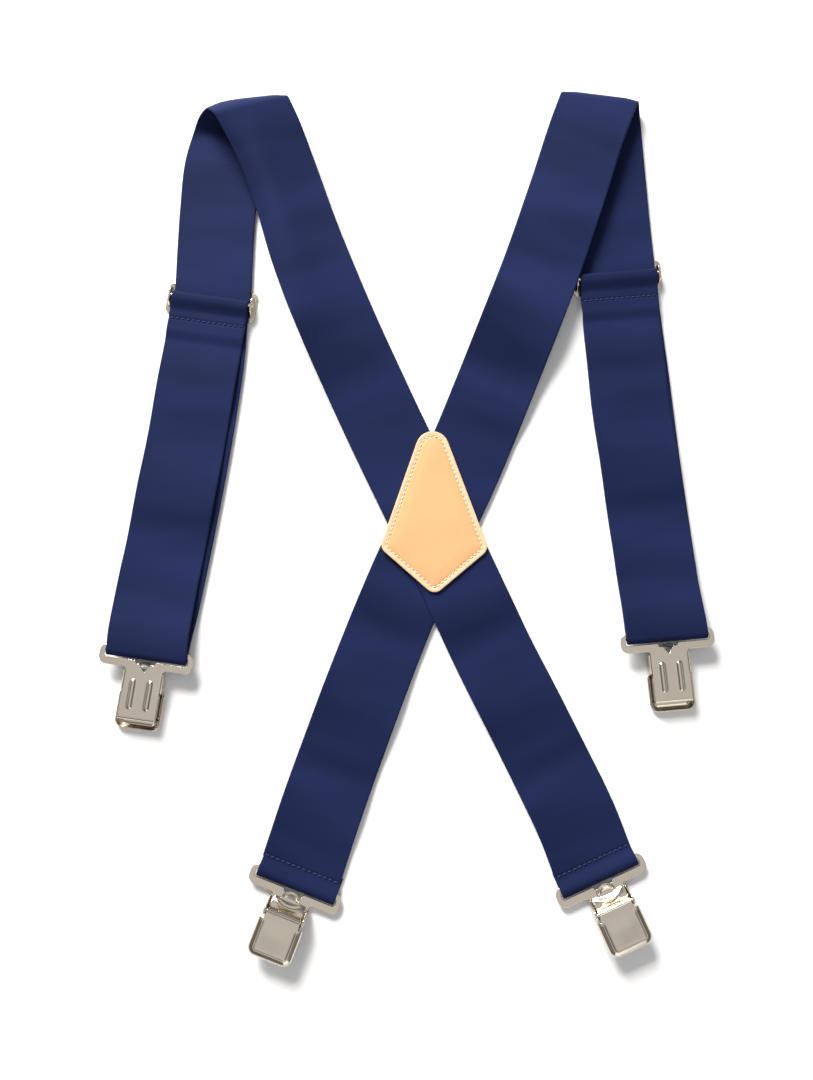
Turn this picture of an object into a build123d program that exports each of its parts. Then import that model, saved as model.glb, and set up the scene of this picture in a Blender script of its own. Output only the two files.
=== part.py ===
"""X-back suspenders with four clips, folded at the shoulders and laid flat.

They lie outer side up: +Y points to the shoulders, +X to the wearer's right and +Z is up. The nodes called
left are the wearer's left and lie at -X. The origin is the middle of the crossing, on the surface that the
suspenders lie on. Millimetres.
"""
from build123d import *
import os
from math import cos, pi, radians, sin

# Webbing
STRAP_WIDTH = 50.0
STRAP_T = 1.5
HALF_WIDTH = STRAP_WIDTH / 2
HALF_T = STRAP_T / 2
LAYER_GAP = 0.1

# Lay of the two straps: crease is where the centre lines of a strap's two runs meet, angles go from -Y
# towards +X, lengths go along a run from the crease, and heights are those of the back run's underside.
LAY = {
    "left": dict(crease=(-124.5, 295.5), back_deg=24.0, front_deg=-8.1, back_length=551.6,
                 front_length=375.2, slide_at=138.2, back_z=18.0, cross_z=3.2, level_to=60.0),
    "right": dict(crease=(111.6, 298.4), back_deg=-21.0, front_deg=4.95, back_length=548.1,
                  front_length=364.3, slide_at=123.6, back_z=10.0, cross_z=1.6, level_to=155.0),
}
CROSSING_FROM = 246.0      # the straps are level from here to CROSSING_TO, where they cross
CROSSING_TO = 374.0
FRONT_Z = 2.0              # underside of the layer that runs through the slide
FOLD_REACH = 30.0          # length of each run that belongs to the shoulder fold
FOLD_SPAN = 90.0           # length of the roll along its crease before it is cut to the strap

# Loop of webbing round a clip's ring
LOOP_INNER_R = 1.75
LOOP_R = LOOP_INNER_R + HALF_T
LOOP_SLACK = 2.25          # from the ring's bar to the centre of the loop's bend
BAR_TO_FOLD = LOOP_SLACK + LOOP_R + HALF_T
REAR_BAR_Z = LOOP_R + HALF_T
FRONT_BAR_Z = 9.5
REAR_HEM = 16.0
BIGHT_LENGTH = 52.0        # part of the running layer that belongs to the moving bight
RISE = 24.0                # length over which a layer climbs to its loop
REAR_RISE = 9.0            # the rear loop opens this far from its bend, and is full from REAR_LEVEL
REAR_LEVEL = 4.0
REAR_LEAD = 6.0
REAR_LOW = STRAP_T + LAYER_GAP

# Slide adjuster
SLIDE_WIDTH = 58.4
SLIDE_HEIGHT = 20.0
SLIDE_T = 1.2
SLIDE_Z = 0.2
SLIDE_CORNER_R = 3.0
SLIDE_WINDOW = (42.0, 9.0)
SLIDE_WINDOW_R = 1.5
FLANGE_INSIDE = 26.0
FLANGE_T = 1.1
FLANGE_LENGTH = 15.0
FLANGE_SLOPE = 65
SLIDE_BAR_R = 1.2
SLIDE_BAR_OUT = 0.8
SLIDE_BAR_CHAMFER = 0.3
TAIL_INNER_R = 1.4
TAIL_R = TAIL_INNER_R + HALF_T
TAIL_GAP = 0.2
TAIL_Z = FRONT_Z + STRAP_T + TAIL_GAP
SLIDE_BAR_Z = TAIL_Z + HALF_T + TAIL_R
BAR_BEHIND_FOLD = TAIL_R + HALF_T
TAIL_HEM = 24.0
BAR_FLAT = 3.0             # the tail leaves the bar level for this length
BAR_DROP = 10.0            # and lies on its hem from here
HEM_STEP = (1.0, 8.0)      # beyond the hem it comes down between these two lengths
HOLE_PLAY = 0.05

# Stitches
STITCH = (2.4, 0.6, 0.3)
STITCH_PITCH = 4.0
STITCHES_IN_ROW = 12
TAIL_STITCH_AT = 18.0
REAR_STITCH_AT = 13.2

# Crossing patches
PATCH_TOP = (-1.3, 89.8)   # sharp corners of the kite, before they are rounded
PATCH_RIGHT = (34.0, -7.0)
PATCH_BOTTOM = (-0.2, -35.8)
PATCH_LEFT = (-34.2, -5.7)
PATCH_TOP_R = 10.5
PATCH_CORNER_R = 6.5
PATCH_T = 1.8
PATCH_Z = 4.8
BACKING_T = 1.5
PATCH_SEAM_IN = 3.2
PATCH_STITCHES = (16, 8, 8, 16)
PATCH_SEAM_SHIFT = (-10.0, 0.0, 0.0, 10.0)

# Clip: its own frame has the ring's bar at the origin, +Y to the mouth and +Z to the lever
SHEET_T = 1.0
SHEET_BACK = -SHEET_T / 2
SHEET_FRONT = SHEET_T / 2
RING_WIDTH = 58.0
RING_BAR = 3.0
RING_TOP = -RING_BAR / 2
RING_BOTTOM = 11.0
RING_CORNER_R = 5.0
SLOT_WIDTH = 51.6
SLOT_BOTTOM = 6.3
SLOT_CORNER_R = 1.5
CUT_LAP = 1.0              # how far a cut or a sheet laps its neighbour
NOTCH_WIDTH = 12.5
NOTCH_DEPTH = 2.0
V_WIDTH = 6.8
V_TIP = 12.8
BODY_WIDTH = 23.0
BODY_END = 42.5
LIP_HEIGHT = 4.0
LIP_BEND_R = 0.8
RIB_X = 5.3
RIB_WIDTH = 2.0
RIB_HEIGHT = 0.6
RIB_TAPER = 25
RIB_FROM = 18.5
RIB_TO = 35.5
EAR_T = 1.0
EAR_FROM = 13.0
EAR_TO = 24.4
EAR_TIP_R = 2.2
EAR_FOOT = 1.0
PIN_Y = 21.0
PIN_Z = 7.1
PIN_R = 0.9
PIN_HEAD_R = 1.5
PIN_HEAD_T = 0.5
PIN_HEAD_TAPER = 20
PIN_PLAY = 0.08

# Lever
LEVER_T = 0.9
BARREL_R = 1.9
LEVER_TOP = PIN_Z + BARREL_R
LEVER_NECK = 21.6
LEVER_WIDTH = 28.0
LEVER_SHOULDER = 25.2
LEVER_END = 48.0
LEVER_CORNER_R = 5.5
RIM_DEPTH = 2.8
RIM_EDGE_R = 0.8
CAM_REACH = 2.4
CAM_TIP_R = 0.9
CAM_WIDTH = 14.0

# Jaw and grip
JAW_T = 0.8
JAW_WIDTH = 20.6
JAW_PIVOT_Y = 7.2
JAW_PLAY = 0.15
JAW_LOW_Z = SHEET_FRONT + JAW_PLAY
JAW_HIGH_Z = 2.7
JAW_END = 40.4
JAW_TAB_WIDTH = 12.0
JAW_TAB_FROM = 6.6
JAW_TAB_TO = 12.0
JAW_RISE = (1.5, 4.5)      # it climbs between these lengths beyond the tab
TOOTH_COUNT = 7
TOOTH_PITCH = 2.7
TOOTH_BASE = 1.8
TOOTH_LENGTH = 0.6
GRIP_WIDTH = 19.0
GRIP_FROM = 34.5
GRIP_T = 1.4
GRIP_RIDGES = 4
GRIP_RIDGE = 0.5

FAR = 60.0                 # longer than any strap is wide or deep, for cutting tools

os.makedirs("parts", exist_ok=True)


def write(shape, name):
    """Label a finished piece and write it as its own STEP."""
    shape.label = name
    export_step(shape, f"parts/{name}.step")


def heading(angle_deg):
    """Unit vector in the XY plane, measured from -Y towards +X."""
    return Vector(sin(radians(angle_deg)), -cos(radians(angle_deg)), 0)


def side_plane(origin, angle_deg):
    """Upright plane along a run: its x follows the run and its y points up."""
    along = heading(angle_deg)
    return Plane(origin=origin, x_dir=along, z_dir=along.cross(Vector(0, 0, 1)))


def lay_plane(origin, angle_deg):
    """Level plane on a run: its x follows the run."""
    return Plane(origin=origin, x_dir=heading(angle_deg), z_dir=(0, 0, 1))


def clip_seat(lay, run, distance, height, lever_up):
    """Frame of a clip whose ring's bar lies across a run, at a distance from the crease."""
    along = heading(lay[f"{run}_deg"])
    origin = Vector(*lay["crease"], height) + along * distance
    out = Vector(0, 0, 1 if lever_up else -1)
    return Plane(origin=origin, x_dir=along.cross(out), z_dir=out)


# ---------------------------------------------------------------- straps
def half_fold(lay, upper):
    """Half of the roll over the shoulder: the part on the back run, or the part on the front run."""
    run_deg = lay["back_deg"] if upper else lay["front_deg"]
    top_z = lay["back_z"] + HALF_T
    low_z = FRONT_Z + HALF_T
    roll_r = (top_z - low_z) / 2
    middle_z = (top_z + low_z) / 2
    bisector = (lay["back_deg"] + lay["front_deg"]) / 2
    start = roll_r + (pi / 2 - 1) * roll_r
    with BuildPart() as fold:
        with BuildSketch(side_plane((*lay["crease"], 0), bisector)):
            with BuildLine():
                top_run = Line((FAR, top_z), (start, top_z))
                bend = JernArc(start=top_run @ 1, tangent=top_run % 1, radius=roll_r, arc_size=180)
                Line(bend @ 1, (FAR, low_z))
            trace(line_width=STRAP_T)
        extrude(amount=FOLD_SPAN / 2, both=True)
        with BuildSketch(lay_plane((*lay["crease"], middle_z), run_deg)):
            Rectangle(2 * FOLD_REACH, STRAP_WIDTH)
        extrude(amount=FAR if upper else -FAR, mode=Mode.INTERSECT)
    return fold


def shoulder_fold(lay):
    """The roll over the shoulder as one solid, from the back run to the front run."""
    halves = [half_fold(lay, True), half_fold(lay, False)]
    with BuildPart() as fold:
        for half in halves:
            add(half.part)
    return fold


def rear_start(lay):
    """Distance along the back run at which its rear turn begins."""
    return lay["back_length"] - LOOP_R - HALF_T - REAR_RISE - REAR_LEAD


def slab(lay, start, finish):
    """Straight stretch of the back run between two (distance, height) points of its middle."""
    with BuildPart() as stretch:
        with BuildSketch(side_plane((*lay["crease"], 0), lay["back_deg"])):
            Polygon((start[0], start[1] - HALF_T), (finish[0], finish[1] - HALF_T),
                    (finish[0], finish[1] + HALF_T), (start[0], start[1] + HALF_T), align=None)
        extrude(amount=HALF_WIDTH, both=True)
    return stretch


def back_stretches(lay):
    """The back run as straight stretches, from the shoulder fold to its rear turn."""
    top = lay["back_z"] + HALF_T
    cross = lay["cross_z"] + HALF_T
    turns = [(FOLD_REACH, top), (lay["level_to"], top), (CROSSING_FROM, cross), (CROSSING_TO, cross),
             (rear_start(lay), REAR_LOW + HALF_T)]
    names = ("strap_upper", "strap_ramp", "strap_crossing", "strap_lower")
    return {name: slab(lay, start, finish) for name, start, finish in zip(names, turns, turns[1:])}


def rear_turn(lay):
    """The rear end of the back run: it opens into a loop round the clip's ring and ends in a hem below."""
    low = REAR_LOW + HALF_T
    loop_s = lay["back_length"] - LOOP_R - HALF_T
    loop_top = REAR_BAR_Z + LOOP_R
    with BuildPart() as turn:
        with BuildSketch(side_plane((*lay["crease"], 0), lay["back_deg"])):
            with BuildLine():
                main = Polyline((rear_start(lay), low), (loop_s - REAR_RISE, low),
                                (loop_s - REAR_LEVEL, loop_top), (loop_s, loop_top))
                bend = JernArc(start=main @ 1, tangent=(1, 0), radius=LOOP_R, arc_size=-180)
                Line(bend @ 1, (lay["back_length"] - REAR_HEM, HALF_T))
            trace(line_width=STRAP_T)
        extrude(amount=HALF_WIDTH, both=True)
    return turn


def front_run(lay):
    """The straight running layer from the fold, through the slide, to the start of the bight."""
    end = lay["front_length"] - BIGHT_LENGTH
    middle = (FOLD_REACH + end) / 2
    with BuildPart() as run:
        with BuildSketch(lay_plane((*lay["crease"], FRONT_Z), lay["front_deg"])):
            with Locations((middle, 0)):
                Rectangle(end - FOLD_REACH, STRAP_WIDTH)
        extrude(amount=STRAP_T)
    return run


def bight(lay):
    """The lower half of the loop round the front ring, with the end of the running layer."""
    end = lay["front_length"]
    low = FRONT_Z + HALF_T
    loop_low = FRONT_BAR_Z - LOOP_R
    loop_s = end - LOOP_R - HALF_T
    with BuildPart() as turn:
        with BuildSketch(side_plane((*lay["crease"], 0), lay["front_deg"])):
            with BuildLine():
                rise = Polyline((end - BIGHT_LENGTH, low), (loop_s - RISE - RISE / 3, low),
                                (loop_s - RISE / 3, loop_low), (loop_s, loop_low))
                JernArc(start=rise @ 1, tangent=(1, 0), radius=LOOP_R, arc_size=90)
            trace(line_width=STRAP_T)
        extrude(amount=HALF_WIDTH, both=True)
    return turn


def tail(lay):
    """The layer that comes back up from the ring and is sewn round the slide's bar."""
    end = lay["front_length"]
    slide = lay["slide_at"]
    loop_s = end - LOOP_R - HALF_T
    hem_z = TAIL_Z + HALF_T
    hem_end = slide + TAIL_HEM
    sewn = TAIL_Z + STRAP_T + LAYER_GAP + HALF_T
    over_bar = SLIDE_BAR_Z + TAIL_R
    bar_s = slide + BAR_BEHIND_FOLD
    loop_top = FRONT_BAR_Z + LOOP_R
    with BuildPart() as layer:
        with BuildSketch(side_plane((*lay["crease"], 0), lay["front_deg"])):
            with BuildLine():
                hem = Line((hem_end, hem_z), (bar_s, hem_z))
                bend = JernArc(start=hem @ 1, tangent=(-1, 0), radius=TAIL_R, arc_size=-180)
                top = Polyline(bend @ 1, (bar_s + BAR_FLAT, over_bar), (bar_s + BAR_DROP, sewn),
                               (hem_end + HEM_STEP[0], sewn), (hem_end + HEM_STEP[1], hem_z),
                               (loop_s - 2 * RISE, hem_z), (loop_s - RISE / 3, loop_top),
                               (loop_s, loop_top))
                JernArc(start=top @ 1, tangent=(1, 0), radius=LOOP_R, arc_size=-90)
            trace(line_width=STRAP_T)
        extrude(amount=HALF_WIDTH, both=True)
    return layer


def stitch_row(lay, run, distance, height):
    """A row of separate stitches across a run, lying on its upper face."""
    with BuildPart() as row:
        with BuildSketch(lay_plane((*lay["crease"], height), lay[f"{run}_deg"])):
            with Locations((distance, 0)):
                with GridLocations(0, STITCH_PITCH, 1, STITCHES_IN_ROW):
                    Rectangle(STITCH[1], STITCH[0])
        extrude(amount=STITCH[2])
    return row


# ---------------------------------------------------------------- crossing patches
def patch(base_z, thickness):
    """Kite-shaped patch with rounded corners."""
    with BuildPart() as kite:
        with BuildSketch(Plane.XY.offset(base_z)) as outline:
            Polygon(PATCH_TOP, PATCH_LEFT, PATCH_BOTTOM, PATCH_RIGHT, align=None)
            fillet(outline.vertices().sort_by(Axis.Y)[-1], PATCH_TOP_R)
            fillet(outline.vertices().sort_by(Axis.Y)[:3], PATCH_CORNER_R)
        extrude(amount=thickness)
    return kite


def patch_stitches():
    """Stitches round the patch, a little way in from its edge, as separate solids."""
    corners = [Vector(*PATCH_TOP), Vector(*PATCH_RIGHT), Vector(*PATCH_BOTTOM), Vector(*PATCH_LEFT)]
    with BuildPart() as stitches:
        for index, count in enumerate(PATCH_STITCHES):
            start = corners[index]
            finish = corners[(index + 1) % len(corners)]
            side = finish - start
            along = side.normalized()
            inward = Vector(along.Y, -along.X, 0)
            middle = (start + finish) * 0.5 + inward * PATCH_SEAM_IN - along * PATCH_SEAM_SHIFT[index]
            seam = Plane(origin=(middle.X, middle.Y, PATCH_Z + PATCH_T), x_dir=along, z_dir=(0, 0, 1))
            with BuildSketch(seam):
                with GridLocations(STITCH_PITCH, 0, count, 1):
                    Rectangle(STITCH[0], STITCH[1])
            extrude(amount=STITCH[2])
    return stitches


# ---------------------------------------------------------------- slide adjuster
def slide_frame():
    """Face plate with a window, and two side flanges that hold the bar. +Y points to the clip."""
    with BuildPart() as frame:
        with BuildSketch(Plane.XY.offset(SLIDE_Z)):
            RectangleRounded(SLIDE_WIDTH, SLIDE_HEIGHT, SLIDE_CORNER_R)
            RectangleRounded(*SLIDE_WINDOW, SLIDE_WINDOW_R, mode=Mode.SUBTRACT)
        extrude(amount=SLIDE_T)
        for side in (-1, 1):
            inner_face = Plane(origin=(side * FLANGE_INSIDE, 0, SLIDE_Z + SLIDE_T),
                               x_dir=(0, 1, 0), z_dir=(side, 0, 0))
            up = 1 if side > 0 else -1
            with BuildSketch(inner_face):
                height = SLIDE_BAR_Z + 2 * SLIDE_BAR_R - SLIDE_Z - SLIDE_T
                with Locations((0, up * height / 2)):
                    Trapezoid(FLANGE_LENGTH, height, FLANGE_SLOPE, rotation=0 if up > 0 else 180)
                with Locations((0, up * (SLIDE_BAR_Z - SLIDE_Z - SLIDE_T))):
                    Circle(SLIDE_BAR_R + HOLE_PLAY, mode=Mode.SUBTRACT)
            extrude(amount=FLANGE_T)
    return frame


def slide_bar():
    """Round bar across the slide, under which the running layer passes."""
    length = 2 * (FLANGE_INSIDE + FLANGE_T + SLIDE_BAR_OUT)
    with BuildPart() as bar:
        with BuildSketch(Plane.YZ.offset(-length / 2)):
            with Locations((0, SLIDE_BAR_Z)):
                Circle(SLIDE_BAR_R)
        extrude(amount=length)
        chamfer(bar.edges().filter_by(GeomType.CIRCLE), SLIDE_BAR_CHAMFER)
    return bar


# ---------------------------------------------------------------- clip
def clip_plate():
    """Stamped back plate: strap ring, notched body with two ribs, bent lip and two hinge ears."""
    with BuildPart() as plate:
        with BuildSketch(Plane.XY.offset(SHEET_BACK)):
            with Locations((0, (RING_TOP + RING_BOTTOM) / 2)):
                RectangleRounded(RING_WIDTH, RING_BOTTOM - RING_TOP, RING_CORNER_R)
            with Locations((0, (RING_BOTTOM + BODY_END) / 2 - CUT_LAP)):
                Rectangle(BODY_WIDTH, BODY_END - RING_BOTTOM + 2 * CUT_LAP)
            slot_top = RING_TOP + RING_BAR
            with Locations((0, (slot_top + SLOT_BOTTOM) / 2)):
                RectangleRounded(SLOT_WIDTH, SLOT_BOTTOM - slot_top, SLOT_CORNER_R, mode=Mode.SUBTRACT)
            Polygon((-NOTCH_WIDTH / 2, SLOT_BOTTOM - CUT_LAP), (-NOTCH_WIDTH / 2, SLOT_BOTTOM),
                    (-V_WIDTH / 2, SLOT_BOTTOM + NOTCH_DEPTH), (0, V_TIP),
                    (V_WIDTH / 2, SLOT_BOTTOM + NOTCH_DEPTH), (NOTCH_WIDTH / 2, SLOT_BOTTOM),
                    (NOTCH_WIDTH / 2, SLOT_BOTTOM - CUT_LAP), align=None, mode=Mode.SUBTRACT)
        extrude(amount=SHEET_T)
        with BuildSketch(Plane.XY.offset(SHEET_FRONT)):
            with Locations((0, BODY_END - SHEET_T / 2)):
                Rectangle(BODY_WIDTH, SHEET_T)
        extrude(amount=LIP_HEIGHT)
        lip_edge = plate.edges().filter_by(Axis.X).group_by(Axis.Y)[-1].sort_by(Axis.Z)[0]
        fillet(lip_edge, LIP_BEND_R)
        with BuildSketch(Plane.XY.offset(SHEET_BACK)):
            with Locations((-RIB_X, (RIB_FROM + RIB_TO) / 2), (RIB_X, (RIB_FROM + RIB_TO) / 2)):
                SlotOverall(RIB_TO - RIB_FROM, RIB_WIDTH, rotation=90)
        extrude(amount=-RIB_HEIGHT, taper=RIB_TAPER)
        for side in (-1, 1):
            with BuildSketch(Plane.YZ.offset(side * BODY_WIDTH / 2)):
                Polygon((EAR_FROM, SHEET_BACK), (EAR_TO, SHEET_BACK), (EAR_TO, PIN_Z - 2 * EAR_TIP_R),
                        (PIN_Y + EAR_TIP_R, PIN_Z), (PIN_Y - EAR_TIP_R, PIN_Z),
                        (EAR_FROM, SHEET_FRONT + EAR_FOOT), align=None)
                with Locations((PIN_Y, PIN_Z)):
                    Circle(EAR_TIP_R)
                    Circle(PIN_R, mode=Mode.SUBTRACT)
            extrude(amount=side * EAR_T)
    return plate


def hinge_pin():
    """Riveted pin through both ears."""
    ears_out = BODY_WIDTH / 2 + EAR_T
    with BuildPart() as pin:
        with BuildSketch(Plane.YZ.offset(-ears_out)):
            with Locations((PIN_Y, PIN_Z)):
                Circle(PIN_R)
        extrude(amount=2 * ears_out)
        for side in (-1, 1):
            with BuildSketch(Plane.YZ.offset(side * ears_out)):
                with Locations((PIN_Y, PIN_Z)):
                    Circle(PIN_HEAD_R)
            extrude(amount=side * PIN_HEAD_T, taper=PIN_HEAD_TAPER)
    return pin


def lever():
    """Cover lever: rolled barrel with a cam, flat face and a rim turned down on three sides."""
    with BuildPart() as cover:
        with BuildSketch(Plane.XY.offset(LEVER_TOP - RIM_DEPTH)) as outline:
            with Locations((0, (LEVER_SHOULDER + LEVER_END) / 2)):
                Rectangle(LEVER_WIDTH, LEVER_END - LEVER_SHOULDER)
            fillet(outline.vertices().group_by(Axis.Y)[-1], LEVER_CORNER_R)
        extrude(amount=RIM_DEPTH)
        fillet(cover.faces().sort_by(Axis.Z)[-1].edges(), RIM_EDGE_R)
        with BuildSketch(Plane.XY.offset(LEVER_TOP - RIM_DEPTH)) as hollow:
            with Locations((0, (LEVER_SHOULDER + LEVER_END) / 2 - LEVER_T)):
                Rectangle(LEVER_WIDTH - 2 * LEVER_T, LEVER_END - LEVER_SHOULDER)
            fillet(hollow.vertices().group_by(Axis.Y)[-1], LEVER_CORNER_R - LEVER_T)
        extrude(amount=RIM_DEPTH - LEVER_T, mode=Mode.SUBTRACT)
        with BuildSketch(Plane.XY.offset(LEVER_TOP - LEVER_T)):
            with Locations((0, (PIN_Y + LEVER_SHOULDER + CUT_LAP) / 2)):
                Rectangle(LEVER_NECK, LEVER_SHOULDER + CUT_LAP - PIN_Y)
        extrude(amount=LEVER_T)
        with BuildSketch(Plane.YZ.offset(-LEVER_NECK / 2)):
            with Locations((PIN_Y, PIN_Z)):
                Circle(BARREL_R)
        extrude(amount=LEVER_NECK)
        with BuildSketch(Plane.YZ.offset(-CAM_WIDTH / 2)):
            with Locations((PIN_Y, PIN_Z - CAM_REACH)):
                Circle(CAM_TIP_R)
            with Locations((PIN_Y, PIN_Z - CAM_REACH / 2)):
                Rectangle(2 * CAM_TIP_R, CAM_REACH)
        extrude(amount=CAM_WIDTH)
        with BuildSketch(Plane.YZ.offset(-LEVER_NECK / 2)):
            with Locations((PIN_Y, PIN_Z)):
                Circle(PIN_R + PIN_PLAY)
        extrude(amount=LEVER_NECK, mode=Mode.SUBTRACT)
    return cover


def jaw():
    """Inner jaw: half-round tab on the ring, a sheet that rises under the cam, and a toothed edge."""
    with BuildPart() as sheet:
        with BuildSketch(Plane.YZ.offset(-JAW_WIDTH / 2)):
            with BuildLine():
                low_z = JAW_LOW_Z + JAW_T / 2
                high_z = JAW_HIGH_Z + JAW_T / 2
                Polyline((JAW_TAB_TO, low_z), (JAW_TAB_TO + JAW_RISE[0], low_z),
                         (JAW_TAB_TO + JAW_RISE[1], high_z), (JAW_END, high_z))
            trace(line_width=JAW_T)
        extrude(amount=JAW_WIDTH)
        with BuildSketch(Plane.XY.offset(JAW_LOW_Z)):
            with Locations((0, JAW_TAB_TO)):
                Ellipse(JAW_TAB_WIDTH / 2, JAW_TAB_TO - JAW_TAB_FROM)
                Rectangle(FAR, FAR, align=(Align.CENTER, Align.MIN), mode=Mode.SUBTRACT)
        extrude(amount=JAW_T)
        with BuildSketch(Plane.XZ.offset(-JAW_END)):
            with Locations((0, JAW_HIGH_Z)):
                with GridLocations(TOOTH_PITCH, 0, TOOTH_COUNT, 1):
                    Polygon((-TOOTH_BASE / 2, JAW_T), (TOOTH_BASE / 2, JAW_T), (0, -TOOTH_LENGTH),
                            align=None)
        extrude(amount=JAW_T)
    return sheet


def grip():
    """Ridged pad inside the plate's mouth."""
    grip_end = BODY_END - SHEET_T
    length = grip_end - GRIP_FROM
    top = SHEET_FRONT + GRIP_T
    with BuildPart() as pad:
        with BuildSketch(Plane.XY.offset(SHEET_FRONT)):
            with Locations((0, (GRIP_FROM + grip_end) / 2)):
                Rectangle(GRIP_WIDTH, length)
        extrude(amount=GRIP_T)
        with BuildSketch(Plane.XY.offset(top)):
            with Locations((0, (GRIP_FROM + grip_end) / 2)):
                with GridLocations(0, length / GRIP_RIDGES, 1, GRIP_RIDGES):
                    Rectangle(GRIP_WIDTH, length / GRIP_RIDGES / 2)
        extrude(amount=-GRIP_RIDGE, mode=Mode.SUBTRACT)
    return pad


def print_pivots(name, seat):
    """Print the three hinge axes of a clip, in the frame of the suspenders."""
    for joint, y, z in (("swing", 0, 0), ("lever", PIN_Y, PIN_Z), ("jaw", JAW_PIVOT_Y, JAW_LOW_Z)):
        origin = seat.from_local_coords((0, y, z))
        print(f"{name}_{joint} pos {tuple(origin)} axis {tuple(seat.x_dir)}")


# ---------------------------------------------------------------- assembly
SLIDE_FRAME = slide_frame()
SLIDE_BAR = slide_bar()
CLIP = {"plate": clip_plate(), "pin": hinge_pin(), "lever": lever(), "jaw": jaw(), "grip": grip()}

for side, lay in LAY.items():
    for name, stretch in back_stretches(lay).items():
        write(stretch.part, f"{side}_{name}")
    write(rear_turn(lay).part, f"{side}_strap_rear")
    write(shoulder_fold(lay).part, f"{side}_strap_fold")
    write(front_run(lay).part, f"{side}_strap_front")
    write(bight(lay).part, f"{side}_strap_bight")
    write(tail(lay).part, f"{side}_strap_tail")

    sewn_top = TAIL_Z + 2 * STRAP_T + LAYER_GAP
    write(stitch_row(lay, "front", lay["slide_at"] + TAIL_STITCH_AT, sewn_top).part,
          f"{side}_tail_stitches")
    rear_top = 2 * STRAP_T + LAYER_GAP
    write(stitch_row(lay, "back", lay["back_length"] - REAR_STITCH_AT, rear_top).part,
          f"{side}_hem_stitches")

    slide_s = lay["slide_at"] + BAR_BEHIND_FOLD
    slide_origin = Vector(*lay["crease"], 0) + heading(lay["front_deg"]) * slide_s
    across = heading(lay["front_deg"]).cross(Vector(0, 0, 1))
    slide_seat = Plane(origin=slide_origin, x_dir=across, z_dir=(0, 0, 1))
    write(SLIDE_FRAME.part.moved(slide_seat.location), f"{side}_slide_frame")
    write(SLIDE_BAR.part.moved(slide_seat.location), f"{side}_slide_bar")

    front = clip_seat(lay, "front", lay["front_length"] - BAR_TO_FOLD, FRONT_BAR_Z, False)
    rear = clip_seat(lay, "back", lay["back_length"] - BAR_TO_FOLD, REAR_BAR_Z, True)
    rear_side = "right" if side == "left" else "left"
    for kind, piece in CLIP.items():
        write(piece.part.moved(front.location), f"front_{side}_{kind}")
        write(piece.part.moved(rear.location), f"rear_{rear_side}_{kind}")
    print_pivots(f"front_{side}", front)
    print_pivots(f"rear_{rear_side}", rear)

write(patch(PATCH_Z, PATCH_T).part, "crossing_patch")
write(patch(0, BACKING_T).part, "backing_patch")
write(patch_stitches().part, "patch_stitches")
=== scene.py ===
"""Visual model of the X-back suspenders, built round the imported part. Lengths below are millimetres."""
import math

import bpy
import numpy as np
from mathutils import Matrix, Vector, geometry


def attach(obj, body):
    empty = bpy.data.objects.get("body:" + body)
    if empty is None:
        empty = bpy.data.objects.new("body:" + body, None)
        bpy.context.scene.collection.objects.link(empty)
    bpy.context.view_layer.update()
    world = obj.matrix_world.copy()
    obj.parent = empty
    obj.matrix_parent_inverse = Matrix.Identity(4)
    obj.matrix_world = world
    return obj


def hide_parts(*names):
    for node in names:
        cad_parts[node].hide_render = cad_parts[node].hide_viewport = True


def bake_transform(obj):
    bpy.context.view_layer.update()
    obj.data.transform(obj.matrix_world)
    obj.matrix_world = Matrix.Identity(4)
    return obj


MM = 0.001
SIDES = ("left", "right")
STRETCHES = ("rear", "lower", "crossing", "ramp", "upper", "fold")

# Webbing
STRAP_WIDTH = 50.0
STRAP_T = 1.5
HALF_T = STRAP_T / 2
LAYER_GAP = 0.1
# Across the rounded selvedge: distance in from the edge, share of HALF_T
SELVEDGE = ((0.0, 0.0), (0.12, 0.62), (0.4, 0.94), (1.0, 1.06), (1.8, 1.0))
COLUMN_STEP = 3.6
# Distance between rows of the mesh: plain runs, hems, shoulder fold, climbs and stitch rows
ROW_STEP = 2.0
HEM_STEP = 1.2
FOLD_STEP = 0.9
CLIMB_STEP = 0.7
GROOVE_STEP = 0.5
SEWN_STEPS = (0.8, 0.6)  # where the tail's outer layer climbs over its end, and where it is sewn
LOOP_STEP = 0.45

# Lay of the two straps: crease, angles from -Y towards +X, lengths from the crease
LAY = {
    "left": dict(crease=(-124.5, 295.5), back_deg=24.0, front_deg=-8.1, back_length=551.6,
                 front_length=375.2, slide_at=138.2, back_z=18.0, cross_z=3.2, level_to=60.0),
    "right": dict(crease=(111.6, 298.4), back_deg=-21.0, front_deg=4.95, back_length=548.1,
                  front_length=364.3, slide_at=123.6, back_z=10.0, cross_z=1.6, level_to=155.0),
}
CROSSING_FROM = 246.0
CROSSING_TO = 374.0
FRONT_Z = 2.0
FOLD_TO = 46.0  # on the back run, where the shoulder roll ends
SEAM_AT = 45.0  # on the front run, where the strap's two meshes meet below the back run
LOOP_R = 2.5
REAR_BAR_Z = LOOP_R + HALF_T
FRONT_BAR_Z = 9.5
BAR_TO_FOLD = 5.5
REAR_HEM = 16.0
REAR_RISE = 9.0
RISE = 24.0
GROOVE_BAND = 6.0  # stretch behind the rear climb that holds the stitch row
RUN_RISE = 32.0
RUN_LEVEL = (4.0, 3.0, 2.0)  # last rows of the running layer, level, before the loop
TAIL_LEVEL = (1.9, 1.0)  # first rows of the tail layer, level, before the loop
HEM_CLIMB = (9.0, 1.0)  # beyond the tail's end, where its outer layer climbs over it
BAR_CLIMB = (10.0, 1.5)  # beyond the bar, where the outer layer climbs onto it
BAR_EXIT = 0.7
TAIL_Z = 3.7
TAIL_R = 2.15
SLIDE_BAR_Z = 6.6
BAR_BEHIND_FOLD = TAIL_R + HALF_T
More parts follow.
